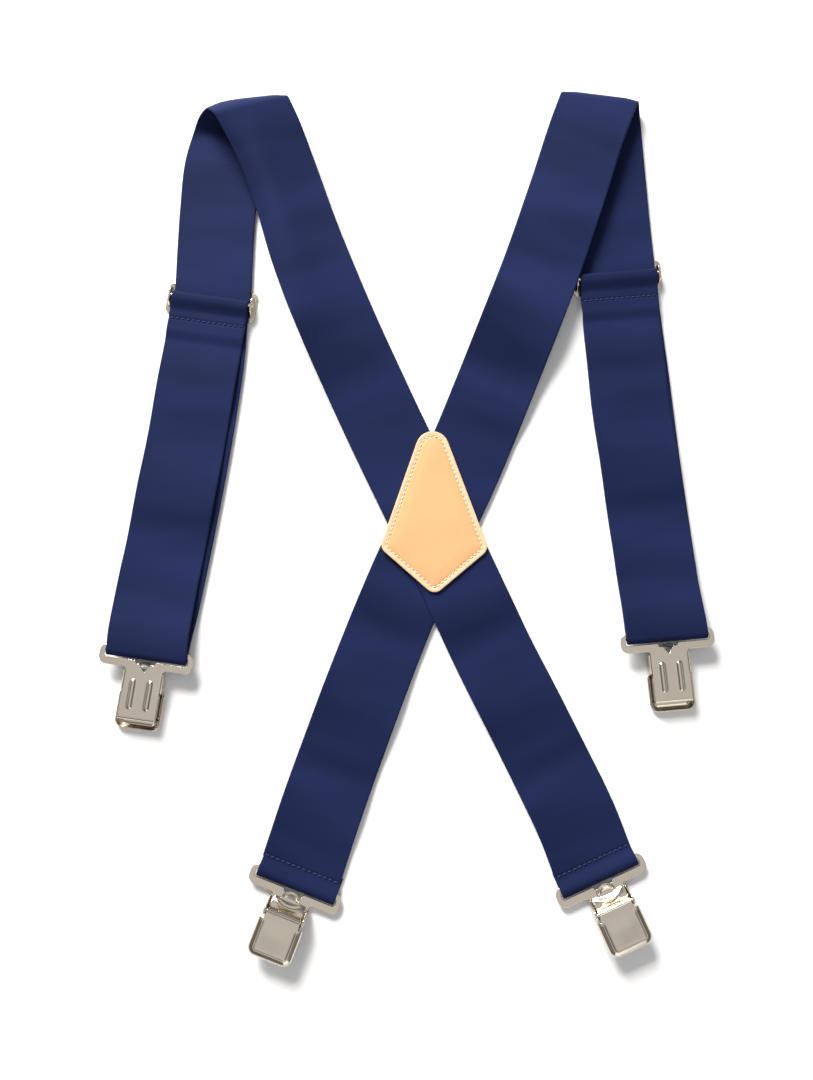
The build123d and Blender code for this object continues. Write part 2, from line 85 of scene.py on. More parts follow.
TAIL_HEM = 24.0

# Sideways drift of a run from its straight line: distance along the run, drift towards +X
BACK_DRIFT = {
    "left": ((0, 0.4), (30, 1.0), (60, -0.8), (110, -4.6), (170, -6.4), (240, -5.9), (340, -3.2),
             (400, -2.3), (480, 1.0), (515, 1.6), (545, 0)),
    "right": ((0, 0), (25, 0), (75, 2.5), (130, 4.5), (200, 4.0), (270, 2.2), (345, -3.0), (450, -3.7),
              (500, -2.4), (535, -0.6), (546, 0)),
}
TAIL_DRIFT = {
    "left": ((130, 0.4), (180, 0.4), (250, 0), (300, -1.0), (335, -1.8), (360, -1.0), (372, 0)),
    "right": ((120, -3.0), (165, -4.2), (205, -4.6), (250, -3.4), (300, -1.6), (340, -0.6), (362, 0)),
}
RUN_DRIFT = {
    "left": ((0, 0.4), (20, -4.2), (45, -7.6), (80, -5.6), (110, -2.4), (135, 0.4), (150, 1.0),
             (175, 3.0), (210, 3.9), (250, 3.8), (300, 2.6), (340, 1.0), (366, 0)),
    "right": ((0, 0), (45, -1.2), (90, -2.4), (120, -2.8), (150, -2.9), (190, -2.4), (250, -2.0),
              (300, -0.8), (340, 0.2), (356, 0)),
}
SLIDE_DRIFT = {"left": 0.4, "right": -3.0}
# Roll over the shoulder: its radius at the strap's middle, change of radius per mm towards +X, and the
# length of back run over which the strap comes off the roll
ROLL = {"left": (9.8, -0.16, 180.0), "right": (4.2, 0.05, 70.0)}
ROLL_CORNER = 3.0  # how far the fold's corners stand out; how far off the middle, and over what width
ROLL_CORNER_FROM = 15.0
ROLL_CORNER_OVER = 16.0
# Curl of the left strap's outer selvedge round the loop: distance from the crease, angle in radians
CURL = {"left": ((-30, 0), (-6, 0.1), (14, 0.45), (45, 1.0), (80, 1.0), (125, 0.45), (165, 0)),
        "right": ((0, 0), (1, 0))}
CURL_FROM = 3.0
CURL_LEAST = 0.01
# Gentle waves in height: distance along the run of each crest, height, half length
BACK_WAVES = {"left": ((120, 1.6, 42), (205, 1.1, 34), (432, 1.8, 34), (495, 1.1, 26)),
              "right": ((80, 1.4, 34), (160, 1.9, 42), (222, 1.0, 24), (430, 1.7, 36), (494, 1.1, 26))}
TAIL_WAVES = {"left": ((200, 1.6, 30), (268, 2.0, 34), (328, 1.1, 24)),
              "right": ((186, 1.5, 28), (250, 1.9, 34), (312, 1.2, 26))}

# Stitches
THREAD_R = 0.38
GROOVE = 0.45
GROOVE_HALF = 0.9
ROW_STITCH = 2.3
ROW_PITCH = 3.4
ROW_COUNT = 14
TAIL_STITCH_AT = 18.0
REAR_STITCH_AT = 13.2
PATCH_PITCH = 3.0
PATCH_STITCH = 2.1
HOLE_R = 0.42

# Patches
PATCH_CORNERS = ((-1.3, 89.8, 10.5), (-34.2, -5.7, 6.5), (-0.2, -35.8, 6.5), (34.0, -7.0, 6.5))
PATCH_STEP = 1.1
PATCH_Z = 4.8
PATCH_T = 1.8
PATCH_EDGE_R = 0.5
PATCH_SEAM_IN = 3.2
PATCH_PILLOW = 0.4
PATCH_PILLOW_REACH = 8.0
PATCH_DIP = 0.25
PATCH_PRICK = 0.35
PATCH_THREAD_SUNK = 0.2
PATCH_THREAD_R = 0.27
SEAM_HALF = 0.9  # softness of the seam's dip and of the border's inner edge
BORDER_OVER = 0.2
PATCH_SHARP_DEG = 80.0
HOLE_RINGS = ((0.0, 1), (0.3, 6), (0.62, 6))  # rings of points round a needle hole: radius, count
BACKING_T = 1.5

# Clip, in its own frame: the ring's bar at the origin, +Y to the mouth, +Z to the lever
SHEET_T = 1.0
EDGE_R = 0.26
EXTRA_CLEARANCE = 0.55  # room kept round a shaped area's own points, share of the grid step
RING_HALF = 29.0
RING_TOP = -1.5
RING_BOTTOM = 11.0
RING_CORNER_R = 5.0
SLOT_HALF = 25.8
SLOT_TOP = 1.5
SLOT_BOTTOM = 6.3
SLOT_CORNER_R = 1.6
NOTCH_HALF = 6.25
NOTCH_Y = 8.3
V_HALF = 3.4
V_TIP = 12.8
BODY_HALF = 11.5
RING_FILLET_R = 1.6
LIP_CORE = 41.2
LIP_BEND_R = 0.8
LIP_END = 46.2
RIB_X = 5.3
RIB_HALF = 1.15
RIB_HEIGHT = 0.75
RIB_FROM = 19.5
RIB_TO = 34.5
RIB_ROWS = 34  # rows of points along a rib, and points across it, a lip's bend and an ear's bend
RIB_PLACES = (-1.8, -1.35, -0.9, -0.45, 0, 0.45, 0.9, 1.35, 1.8)
LIP_PLACES = (0.0, 0.32, 0.63, 0.95, 1.26)
EAR_PLACES = (0.0, 0.4, 0.8, 1.2, 1.6)
RIB_SOFT = 0.7  # how far a rib's foot spreads, and the width of its flank
RIB_FLANK = 1.25
EAR_ROOM = 0.5
CRISP_R = 0.3  # corner left nearly sharp
EAR_FROM = 13.0
EAR_TO = 24.4
EAR_CORE = 11.0
EAR_BEND_R = 1.0
EAR_TIP = 20.9
EAR_TIP_R = 2.2
EAR_TIP_CORNER_R = 2.1
EAR_ROOT = (3.0, 1.0)  # ear's upper and lower flank beyond its core: reach, corner radius
EAR_HEEL = (5.0, 1.5)
PIN_Y = 21.0
PIN_Z = 7.1
PIN_R = 0.9
PIN_HEAD_R = 1.55
PIN_OUT = 12.5
PIN_DOME = 0.55
PIN_BEVEL = 0.02

LEVER_T = 0.9
LEVER_Z = 8.55
BARREL_R = 1.45
BARREL_WRAP = 5.4
LEVER_NECK = 10.8
LEVER_CORE = 11.65
LEVER_CORE_END = 45.65
LEVER_CORE_R = 3.15
RIM_BEND_R = 1.9
RIM_FLAT = 3.43
LEVER_SHOULDER = 25.2
LEVER_CORNERS = (0.4, 0.7, 1.2)  # corner radii at the barrel, the neck and the shoulder
LEVER_DOME = 0.35
DOME_REACH = (16.0, 10.0, 9.0)  # how far the dome takes to rise from the mouth, the shoulder and a side
LEVER_SUNK = 0.25  # how far the face's edge lies below the barrel's top
LEVER_BEAD = 0.5
LEVER_BEAD_IN = 0.9
LEVER_BEAD_HALF = 0.75
CAM_TIP_Z = 4.65
CAM_R = 0.85
CAM_HALF = 7.0

JAW_T = 0.8
JAW_EDGE_R = 0.2
JAW_HALF = 10.3
JAW_LOW = 1.05
JAW_HIGH = 3.1
JAW_TAB_HALF = 6.0
JAW_TAB_FROM = 6.6
JAW_TAB_TO = 12.0
JAW_RISE_TO = 17.0
JAW_TAB_TILT = 0.2
JAW_RIDGE = (8.6, 5.2, 0.7, 0.24)  # half width and length of the pressed ring, its height and softness
JAW_TAB_RIM = (0.74, 0.45, 0.11)  # place of the tab's raised rim, share of its size; height; softness
JAW_CORE = 39.3
JAW_BEND_R = 0.6
JAW_TIP = 40.9
TOOTH_DEPTH = 0.75
TOOTH_PITCH = 2.7
TOOTH_COUNT = 7

GRIP_HALF = 9.5
GRIP_FROM = 34.5
GRIP_TO = 41.4
GRIP_BASE = 0.9
GRIP_TOP = 1.4
GRIP_RIDGES = 4

SLIDE_HALF = 29.2
SLIDE_HEIGHT = 20.0
SLIDE_T = 1.2
SLIDE_Z = 0.8
SLIDE_CORNER_R = 3.0
WINDOW_HALF = 21.0
WINDOW_HEIGHT = 9.0
WINDOW_CORNER_R = 1.5
FLANGE_X = 26.55
FLANGE_T = 1.1
FLANGE_HALF = 7.0
FLANGE_TOP = 8.4
SLIDE_BAR_R = 1.2
SLIDE_BAR_HALF = 27.9

# Meshing
TINY = 1e-12  # least squared length of a side
# Distance between points of each sheet's grid, and along a bend
PLATE_STEP = 0.9
LEVER_STEP = 0.75
JAW_STEP = 0.8
SLIDE_STEP = 1.2
BEND_PITCH = 0.48
MERGE = 1e-5  # distance at which two points of a sheet are one
ROW_SHARE = 0.87  # distance between rows of the staggered grid, share of its step
EDGE_RINGS = (0.3, 1.0, 1.6)  # rings of points inside an edge, shares of its radius
EDGE_LEAST = 0.2  # room kept at an edge, share of its radius
EDGE_GAP = 0.35  # room between those rings and the grid, share of its step
TURNED_SIDES = 28
STITCH_SIDES = 8
STITCH_WIDE = 1.1  # width of a thread over its height
# Stations along a stitch: share of its length, lift and thickness in thread radii
STITCH_STATIONS = ((-0.02, -0.75, 0.6), (0.04, -0.1, 0.95), (0.16, 0.55, 1.0), (0.5, 0.75, 1.06),
                   (0.84, 0.55, 1.0), (0.96, -0.1, 0.95), (1.02, -0.75, 0.6))

# Colours, as linear red, green and blue: the darker and the lighter end of each
# Webbing: navy, its darker and lighter ends spread by painted sheen, bands of painted light and shade across
# the strap
WEBBING_NAVY_AND_SHEEN = ((0.0056, 0.0086, 0.029), (0.0176, 0.0250, 0.087))
WEBBING_GAP_SHADE = (0.0095, 0.0140, 0.050)  # painted shade in the gap between two ribs
WEBBING_SHEEN = (0.30, 0.40, 0.90, 1)
WARP_SHARE = 0.5  # height of the warp lines over the ribs'
FUZZ_SHARE = 0.35
NICKEL_TONES = ((0.66, 0.59, 0.48), (0.72, 0.648, 0.535))
# Painted shade: dark nickel for the jaw's faces towards the plate, which lie in its shadow
SHADED_JAW_TONES = ((0.09, 0.085, 0.08), (0.19, 0.18, 0.165))
LEATHER_TONES = ((0.70, 0.345, 0.148), (0.78, 0.405, 0.182))
LEATHER_WORN = (0.85, 0.60, 0.42)
NAVY_THREAD_TONES = ((0.010, 0.014, 0.046), (0.05, 0.065, 0.17))
CREAM_THREAD_TONES = ((0.78, 0.66, 0.50), (0.90, 0.82, 0.70))
PLASTIC_TONES = ((0.008, 0.008, 0.009), (0.016, 0.016, 0.018))
FLOOR_TONES = ((0.90, 0.895, 0.885), (0.935, 0.932, 0.925))
COLOUR_SLOTS = (6, 7)  # a colour mix node's two colour inputs
INNER_NORMAL_Z = -0.3  # the jaw's faces that look further down than this, towards the plate, take the dark metal: painted shade

# Stage, in metres
REACH = 4.0
# Square lights: place, target, size, power, colour
LIGHTS = {
    "key": ((-0.9, 1.95, 1.5), (0, 0, 0), 1.1, 150.0, (1.0, 0.985, 0.96)),
    "fill": ((0.4, -1.8, 1.4), (0, -0.2, 0), 1.4, 9.0, (0.94, 0.97, 1.0)),
}
# What the metal reflects: height of the direction, grey
SKY = ((0.0, 0.85), (0.2, 0.75), (0.42, 0.10), (0.70, 0.20), (0.90, 0.42), (0.985, 0.72))
SKY_BLUE = 1.02
SENSOR_HEIGHT = 24.0  # millimetres, as is the lens
LENS = 26.67
CAMERA_AT = (-0.0175, -0.1151, 0.7482)
CAMERA_TILT_DEG = 8.75


# ---- small tools
def smooth(x):
    """Smooth step from 0 at 0 to 1 at 1."""
    x = min(1.0, max(0.0, x))
    return x * x * (3 - 2 * x)


def eased(table, x):
    """Value at x of a table of (x, value), level at each of its points."""
    if x <= table[0][0]:
        return table[0][1]
    for (x0, v0), (x1, v1) in zip(table, table[1:]):
        if x <= x1:
            return v0 + (v1 - v0) * smooth((x - x0) / (x1 - x0))
    return table[-1][1]


def curve(table, x):
    """Value at x of a smooth curve through a table of (x, value)."""
    places = [place for place, _ in table]
    values = [value for _, value in table]
    if x <= places[0]:
        return values[0]
    if x >= places[-1]:
        return values[-1]
    slopes = np.gradient(values, places)
    slopes[0] = slopes[-1] = 0.0
    i = max(k for k, place in enumerate(places[:-1]) if place <= x)
    width = places[i + 1] - places[i]
    u = (x - places[i]) / width
    rise = values[i + 1] - values[i]
    return (values[i] + slopes[i] * width * u * (1 - u) ** 2 + rise * smooth(u)
            - slopes[i + 1] * width * u * u * (1 - u))


def swell(waves, x):
    """Sum of raised-cosine crests at x."""
    total = 0.0
    for centre, height, half in waves:
        if abs(x - centre) < half:
            total += height * 0.5 * (1 + math.cos(math.pi * (x - centre) / half))
    return total


def heading(angle_deg):
    """Unit vector in the XY plane, measured from -Y towards +X."""
    return Vector((math.sin(math.radians(angle_deg)), -math.cos(math.radians(angle_deg)), 0))


def across(angle_deg):
    """Unit vector across a run, towards +X."""
    return heading(angle_deg + 90)


def ramp(start, finish, step=ROW_STEP):
    """Points of a side profile that eases in height from start to finish, finish left out."""
    count = max(2, round(abs(finish[0] - start[0]) / step))
    rows = []
    for i in range(count):
        share = i / count
        height = start[1] + (finish[1] - start[1]) * smooth(share)
        rows.append((start[0] + (finish[0] - start[0]) * share, height))
    return rows


def arc(centre, radius, start_deg, sweep_deg):
    """Points of a side profile round an arc, both ends in."""
    count = max(4, round(radius * math.radians(abs(sweep_deg)) / LOOP_STEP))
    rows = []
    for i in range(count + 1):
        angle = math.radians(start_deg + sweep_deg * i / count)
        rows.append((centre[0] + radius * math.cos(angle), centre[1] + radius * math.sin(angle)))
    return rows


def rounded(corners, steps=6):
    """Closed outline from (x, y, radius) corners, listed anticlockwise."""
    outline = []
    count = len(corners)
    for i, (x, y, radius) in enumerate(corners):
        here = Vector((x, y))
        back = (Vector(corners[i - 1][:2]) - here).normalized()
        ahead = (Vector(corners[(i + 1) % count][:2]) - here).normalized()
        if radius <= 0:
            outline.append(here)
            continue
        half = back.angle(ahead) / 2
        setback = radius / math.tan(half)
        centre = here + (back + ahead).normalized() * (radius / math.sin(half))
        start = here + back * setback - centre
        turn = start.angle_signed(here + ahead * setback - centre)
        for k in range(steps + 1):
            angle = -turn * k / steps
            outline.append(centre + Matrix.Rotation(angle, 2) @ start)
    return outline


def pairs(ring):
    """Each point of a closed ring with the one after it."""
    return zip(ring, ring[1:] + ring[:1])


def array_of(points):
    """Points as an array with one row each."""
    return np.array([tuple(p) for p in points])


def densify(outline, step):
    """The same closed outline with points no further apart than step."""
    dense = []
    for a, b in pairs(outline):
        count = max(1, math.ceil((b - a).length / step))
        dense += [a.lerp(b, k / count) for k in range(count)]
    return dense


def inset(outline, distance):
    """Each point of a closed outline moved to its left by distance."""
    moved = []
    count = len(outline)
    for i, here in enumerate(outline):
        side = outline[(i + 1) % count] - outline[i - 1]
        if side.length > 0:
            side.normalize()
            moved.append(here + Vector((-side.y, side.x)) * distance)
    return moved


def inside(points, outline):
    """Which of the points lie inside a closed outline."""
    result = np.zeros(len(points), bool)
    ring = array_of(outline)
    for (x0, y0), (x1, y1) in zip(ring, np.roll(ring, -1, axis=0)):
        crosses = (y0 > points[:, 1]) != (y1 > points[:, 1])
        if y0 != y1:
            result ^= crosses & (points[:, 0] < (x1 - x0) * (points[:, 1] - y0) / (y1 - y0) + x0)
    return result


def within(points, outlines):
    """Which of the points lie inside the first outline and outside the others."""
    result = inside(points, outlines[0])
    for hole in outlines[1:]:
        result &= ~inside(points, hole)
    return result


def edge_distance(points, outlines):
    """Distance of each point to the nearest outline."""
    best = np.full(len(points), np.inf)
    for outline in outlines:
        ring = array_of(outline)
        for a, b in zip(ring, np.roll(ring, -1, axis=0)):
            side = b - a
            share = np.clip(((points - a) @ side) / max(side @ side, TINY), 0, 1)
            best = np.minimum(best, np.linalg.norm(points - a - share[:, None] * side, axis=1))
    return best


def symmetric(right):
    """Anticlockwise corners, symmetric about x = 0, from those on the right with the lowest first."""
    left = mirrored(right)
    return left[-1:] + right + left[:-1]


def mirrored(corners):
    """The corners reflected in x = 0, in reverse order."""
    return [(-x, y, radius) for x, y, radius in reversed(corners)]


def spaced(start, pitch, count):
    """A count of values a pitch apart."""
    return [start + k * pitch for k in range(count)]


def lattice(columns_x, rows_y):
    """Points at each x with each y."""
    return [(x, y) for x in columns_x for y in rows_y]


# ---- meshes
def linked(name, data):
    """New object in the scene."""
    obj = bpy.data.objects.new(name, data)
    bpy.context.scene.collection.objects.link(obj)
    return obj


def make_mesh(name, points, faces, material, sharp_deg=50.0, uv=None):
    """Mesh from points in millimetres."""
    mesh = bpy.data.meshes.new(name)
    mesh.from_pydata([tuple(Vector(p) * MM) for p in points], [], faces)
    mesh.polygons.foreach_set("use_smooth", [True] * len(mesh.polygons))
    mesh.set_sharp_from_angle(angle=math.radians(sharp_deg))
    if uv is not None:
        layer = mesh.uv_layers.new(name="weave")
        for loop in mesh.loops:
            layer.data[loop.index].uv = uv[loop.vertex_index]
    mesh.materials.append(material)
    mesh.update()
    return mesh


def columns():
    """Places across the strap as (t, share of the half thickness)."""
    half = STRAP_WIDTH / 2
    edge = [(-half + d, share) for d, share in SELVEDGE]
    flat_from = edge[-1][0]
    count = round(2 * -flat_from / COLUMN_STEP)
    middle = [(flat_from + 2 * -flat_from * k / count, 1.0) for k in range(1, count)]
    return edge + middle + [(-t, share) for t, share in reversed(edge)]


def ribbon(name, rows):
    """Closed solid of webbing. Each row is a function of t that gives a point of its middle surface."""
    places = columns()
    grid = np.array([[tuple(row(t)) for t, _ in places] for row in rows])
    normal = np.cross(np.gradient(grid, axis=0), np.gradient(grid, axis=1))
    normal /= np.linalg.norm(normal, axis=2)[:, :, None]
    offset = normal * np.array([share * HALF_T for _, share in places])[None, :, None]
    steps = np.linalg.norm(np.diff(grid[:, len(places) // 2], axis=0), axis=1)
    run = np.concatenate([[0], np.cumsum(steps)])
    points = list((grid + offset).reshape(-1, 3)) + list((grid - offset)[:, 1:-1].reshape(-1, 3))
    uv = [(t, s) for s in run for t, _ in places] + [(t, s) for s in run for t, _ in places[1:-1]]
    count, wide = len(rows), len(places)
    face_up = np.arange(count * wide).reshape(count, wide)
    face_down = face_up.copy()
    face_down[:, 1:-1] = count * wide + np.arange(count * (wide - 2)).reshape(count, wide - 2)
    upper, lower = face_up.tolist(), face_down.tolist()
    faces = []
    for i in range(count - 1):
        for j in range(wide - 1):
            faces.append((upper[i][j], upper[i + 1][j], upper[i + 1][j + 1], upper[i][j + 1]))
            faces.append((lower[i][j], lower[i][j + 1], lower[i + 1][j + 1], lower[i + 1][j]))
    for i, order in ((0, 1), (-1, -1)):
        for j in range(wide - 1):
            cap = dict.fromkeys((upper[i][j], upper[i][j + 1], lower[i][j + 1], lower[i][j]))
            faces.append(tuple(cap)[::order])
    return linked(name, make_mesh(name, points, faces, WEBBING, uv=uv))


def grid_points(dense, step, clearance, extra):
    """Staggered points over a sheet, clear of its edges. A shaped area has its own, extra points."""
    boundary = array_of(dense[0])
    low, high = boundary.min(0), boundary.max(0)
    grid = []
    row = 0
    y = low[1] + step / 2
    while y < high[1]:
        x = low[0] + step * (0.25 if row % 2 else 0.75)
        while x < high[0]:
            grid.append(Vector((x, y)))
            x += step
        y += step * ROW_SHARE
        row += 1
    if extra:
        gaps = array_of(grid)[:, None, :] - np.array(extra)[None, :, :]
        nearest = np.linalg.norm(gaps, axis=2).min(axis=1)
        grid = [p for p, gap in zip(grid, nearest) if gap > EXTRA_CLEARANCE * step]
        grid += [Vector(p) for p in extra]
    clear = edge_distance(array_of(grid), dense) > clearance
    return [p for p, keep in zip(grid, clear) if keep]


def stamped(outlines, thickness, step, shape, edge_r=EDGE_R, extra=()):
    """Points and faces of a sheet with rounded edges. The first outline bounds it, the others are holes.

    shape(x, y, z) bends the flat sheet, z being the height over its middle.
    """
    dense = [densify(outline, step) for outline in outlines]
    rims, edges = [], []
    for ring in dense:
        first = len(rims)
        rims += ring
        edges += [(first + k, first + (k + 1) % len(ring)) for k in range(len(ring))]
    seeds = [p for ring in dense for share in EDGE_RINGS for p in inset(ring, share * edge_r)]
    seeds += grid_points(dense, step, EDGE_RINGS[-1] * edge_r + EDGE_GAP * step, extra)
    places = array_of(seeds)
    kept = within(places, dense) & (edge_distance(places, dense) > EDGE_LEAST * edge_r)
    seeds = rims + [p for p, keep in zip(seeds, kept) if keep]
    verts, _, faces, _, _, _ = geometry.delaunay_2d_cdt(seeds, edges, [], 0, MERGE)
    flat = array_of(verts)
    centres = np.array([flat[list(f)].mean(0) for f in faces])
    faces = [tuple(f) for f, keep in zip(faces, within(centres, dense)) if keep]
    depth = np.minimum(edge_distance(flat, dense), edge_r)
    height = thickness / 2 - edge_r + np.sqrt(np.maximum(edge_r ** 2 - (edge_r - depth) ** 2, 0))
    count = len(flat)
    points = [shape(x, y, z) for (x, y), z in zip(flat, height)]
    points += [shape(x, y, -z) for (x, y), z in zip(flat, height)]
    used = dict.fromkeys(pair for f in faces for pair in pairs(f))
    solid = faces + [tuple(v + count for v in reversed(f)) for f in faces]
    solid += [(b, a, a + count, b + count) for a, b in used if (b, a) not in used]
    return points, solid


def lofted(rings, clockwise=False):
    """Points and faces of a closed solid through rings of equal count, its ends closed.

    clockwise turns every face round.
    """
    points = [p for ring in rings for p in ring]
    count = len(rings[0])
    faces = []
    for base in range(0, len(points) - count, count):
        for k in range(count):
            n = (k + 1) % count
            face = (base + k, base + n, base + count + n, base + count + k)
            faces.append((face[0], *face[:0:-1]) if clockwise else face)
    first, last = tuple(range(count)), tuple(range(len(points) - count, len(points)))
    faces += [first, last[::-1]] if clockwise else [first[::-1], last]
    return points, faces


def turned(profile, centre):
    """Points and faces of a solid turned about a line along X. The profile is (x, radius)."""
    x0, y0, z0 = centre
    angles = [2 * math.pi * k / TURNED_SIDES for k in range(TURNED_SIDES)]
    rings = [[(x0 + x, y0 + radius * math.cos(angle), z0 + radius * math.sin(angle)) for angle in angles]
             for x, radius in profile]
    return lofted(rings, clockwise=True)


def joined(*parts):
    """Several (points, faces) as one."""
    points, faces = [], []
    for part_points, part_faces in parts:
        base = len(points)
        points += list(part_points)
        faces += [tuple(v + base for v in f) for f in part_faces]
    return points, faces


def stitch(start, finish, up, radius=THREAD_R):
    """Points and faces of one stitch: a short thread that dips into the material at both ends."""
    start, finish, up = Vector(start), Vector(finish), Vector(up)
    side = (finish - start).normalized().cross(up)
    rings = []
    for share, lift, scale in STITCH_STATIONS:
        centre = start.lerp(finish, share) + up * lift * radius
        angles = [2 * math.pi * k / STITCH_SIDES for k in range(STITCH_SIDES)]
        rings.append([centre + (side * math.cos(angle) * STITCH_WIDE + up * math.sin(angle)) * radius * scale
                      for angle in angles])
    return lofted(rings)


# ---- materials
class Look:
    """Material with short ways to add, set and link its nodes. Underscores stand for an input's spaces."""

    def __init__(self, name, **shader_values):
        self.material = bpy.data.materials.new(name)
        self.material.use_nodes = True
        self.nodes = self.material.node_tree.nodes
        self.link = self.material.node_tree.links.new
        self.shader = self.nodes["Principled BSDF"]
        self.set_values(self.shader, shader_values)

    def set_values(self, node, values):
        """Set a node's inputs, or its own settings, by name."""
        for key, value in values.items():
            if key.replace("_", " ") in node.inputs:
                node.inputs[key.replace("_", " ")].default_value = value
            else:
                setattr(node, key, value)

    def add(self, kind, vector=None, **values):
        """Node of a kind, with the place it reads from."""
        node = self.nodes.new(f"ShaderNode{kind}")
        self.set_values(node, values)
        if vector:
            self.link(vector, node.inputs["Vector"])
        return node

    def place(self):
        """Place in the piece's own frame."""
        return self.add("TexCoord").outputs["Object"]

    def texture(self, kind, vector, **values):
        """Grey value of a texture."""
        return self.add(f"Tex{kind}", vector, **values).outputs["Fac"]

    def ranged(self, value, **values):
        """A value mapped from one range to another."""
        node = self.add("MapRange", **values)
        self.link(value, node.inputs["Value"])
        return node.outputs["Result"]

    def maths(self, operation, *terms):
        """Result of an operation on sockets and numbers."""
        node = self.add("Math", operation=operation)
        for slot, term in zip(node.inputs, terms):
            if isinstance(term, float):
                slot.default_value = term
            else:
                self.link(term, slot)
        return node.outputs[0]

    def mix(self, factor, first, second):
        """Colour that runs from first to second with a factor."""
        node = self.add("Mix", data_type="RGBA")
        self.link(factor, node.inputs["Factor"])
        for slot, colour in zip(COLOUR_SLOTS, (first, second)):
            if isinstance(colour, tuple):
                node.inputs[slot].default_value = (*colour, 1)
            else:
                self.link(colour, node.inputs[slot])
        return node.outputs[2]

    def finished(self, colour, height=None, strength=0.0, distance=0.0):
        """The material, with its colour and the height of its fine relief."""
        self.link(colour, self.shader.inputs["Base Color"])
        if height:
            bump = self.add("Bump", Strength=strength, Distance=distance)
            self.link(height, bump.inputs["Height"])
            self.link(bump.outputs["Normal"], self.shader.inputs["Normal"])
        return self.material


def webbing_material():
    """Navy elastic webbing: fine ribs across with painted shade in the gaps between them, faint warp lines, a
    navy-tinted satin sheen, and cloudy bands of painted sheen, lighter and darker, in its colour.
    """
    look = Look("navy_webbing", Roughness=0.58, Specular_IOR_Level=0.10, Specular_Tint=WEBBING_SHEEN)
    place = look.add("UVMap", uv_map="weave").outputs["UV"]
    ribs = look.texture("Wave", place, wave_type="BANDS", bands_direction="Y", Scale=0.55, Distortion=0.6,
                        Detail_Scale=1.5)
    warp = look.texture("Wave", place, wave_type="BANDS", bands_direction="X", Scale=0.9, Distortion=0.3)
    fuzz = look.texture("Noise", place, Scale=3.0, Detail=4.0)
    # Painted sheen: broad cloudy bands across the strap make the colour lighter and darker, standing in for
    # light on the satin weave
    spread = look.add("Mapping", place, Scale=(0.3, 1.0, 1.0)).outputs["Vector"]
    painted_sheen_bands = look.texture("Noise", spread, Scale=0.022, Detail=2.0)
    base = look.mix(look.ranged(painted_sheen_bands, From_Min=0.36, From_Max=0.64), *WEBBING_NAVY_AND_SHEEN)
    weave = look.maths("MULTIPLY_ADD", warp, WARP_SHARE, ribs)
    height = look.maths("MULTIPLY_ADD", fuzz, FUZZ_SHARE, weave)
    # Painted shade: the gaps between the ribs take the darker colour
    return look.finished(look.mix(ribs, WEBBING_GAP_SHADE, base), height, 0.35, 0.00012)


def metal_material():
    """Bright nickel plate with soft handling marks and fine scratches."""
    look = Look("nickel_plate", Metallic=1.0)
    place = look.place()
    marks = look.texture("Noise", place, Scale=140.0, Detail=4.0)
    stretch = look.add("Mapping", place, Scale=(1.0, 0.12, 1.0)).outputs["Vector"]
    scratches = look.texture("Noise", stretch, Scale=900.0, Detail=2.0)
    rough = look.ranged(marks, From_Min=0.3, From_Max=0.75, To_Min=0.14, To_Max=0.22)
    look.link(rough, look.shader.inputs["Roughness"])
    return look.finished(look.mix(marks, *NICKEL_TONES), scratches, 0.12, 0.00003)


def leather_material():
    """Peach tan leather: smooth face, paler worn border, fine grain."""
    look = Look("tan_leather", Roughness=0.48, Specular_IOR_Level=0.4)
    place = look.place()
    tone = look.texture("Noise", place, Scale=45.0, Detail=4.0)
    wear = look.texture("Noise", place, Scale=420.0, Detail=3.0)
    grain = look.add("TexVoronoi", place, Scale=1500.0).outputs["Distance"]
    border = look.add("Attribute", attribute_name="border").outputs["Fac"]
    face = look.mix(tone, *LEATHER_TONES)
    worn = look.maths("MULTIPLY", wear, border)
    return look.finished(look.mix(worn, face, LEATHER_WORN), grain, 0.25, 0.00008)


def plain_material(name, tones, texture, relief=(), kind="Noise", **shader_values):
    """Material whose colour, and with a relief its height, follow one texture."""
    look = Look(name, **shader_values)
    value = look.texture(kind, look.place(), **texture)
    return look.finished(look.mix(value, *tones), *([value, *relief] if relief else []))


def thread_material(name, tones):
    """Twisted thread: fine diagonal strands."""
    strands = dict(wave_type="BANDS", bands_direction="DIAGONAL", Scale=900.0, Distortion=0.5)
    return plain_material(name, tones, strands, (0.4, 0.00006), "Wave", Roughness=0.55,
                          Specular_IOR_Level=0.12)


# ---- straps
def run_point(lay, run, distance, height=0.0, drift=0.0):
    """Point on a straight run at a distance from the crease."""
    angle = lay[f"{run}_deg"]
    return Vector((*lay["crease"], height)) + heading(angle) * distance + across(angle) * drift


def run_row(lay, run, distance, height, drift=0.0):
    """Row of a straight run at a distance from the crease."""
    centre = run_point(lay, run, distance, height)
    side = across(lay[f"{run}_deg"])
    return lambda t: centre + side * (t + drift)


def roll_radius(side, ruling):
    """Radius of the shoulder roll at a place along it."""
    middle, change, _ = ROLL[side]
    return middle + change * ruling


def fold_angles(lay):
    """Half the angle between a strap's two runs, in radians, and the direction midway, in degrees."""
    return math.radians((lay["back_deg"] - lay["front_deg"]) / 2), (lay["back_deg"] + lay["front_deg"]) / 2


def curled(side, distance, t):
    """Place across the strap, and drop below its middle surface, where the outer selvedge curls."""
    angle = curve(CURL[side], distance)
    over = -CURL_FROM - t
    if angle < CURL_LEAST or over <= 0:
        return t, 0.0
    radius = (STRAP_WIDTH / 2 - CURL_FROM) / angle
    return -CURL_FROM - radius * math.sin(over / radius), radius * (1 - math.cos(over / radius))


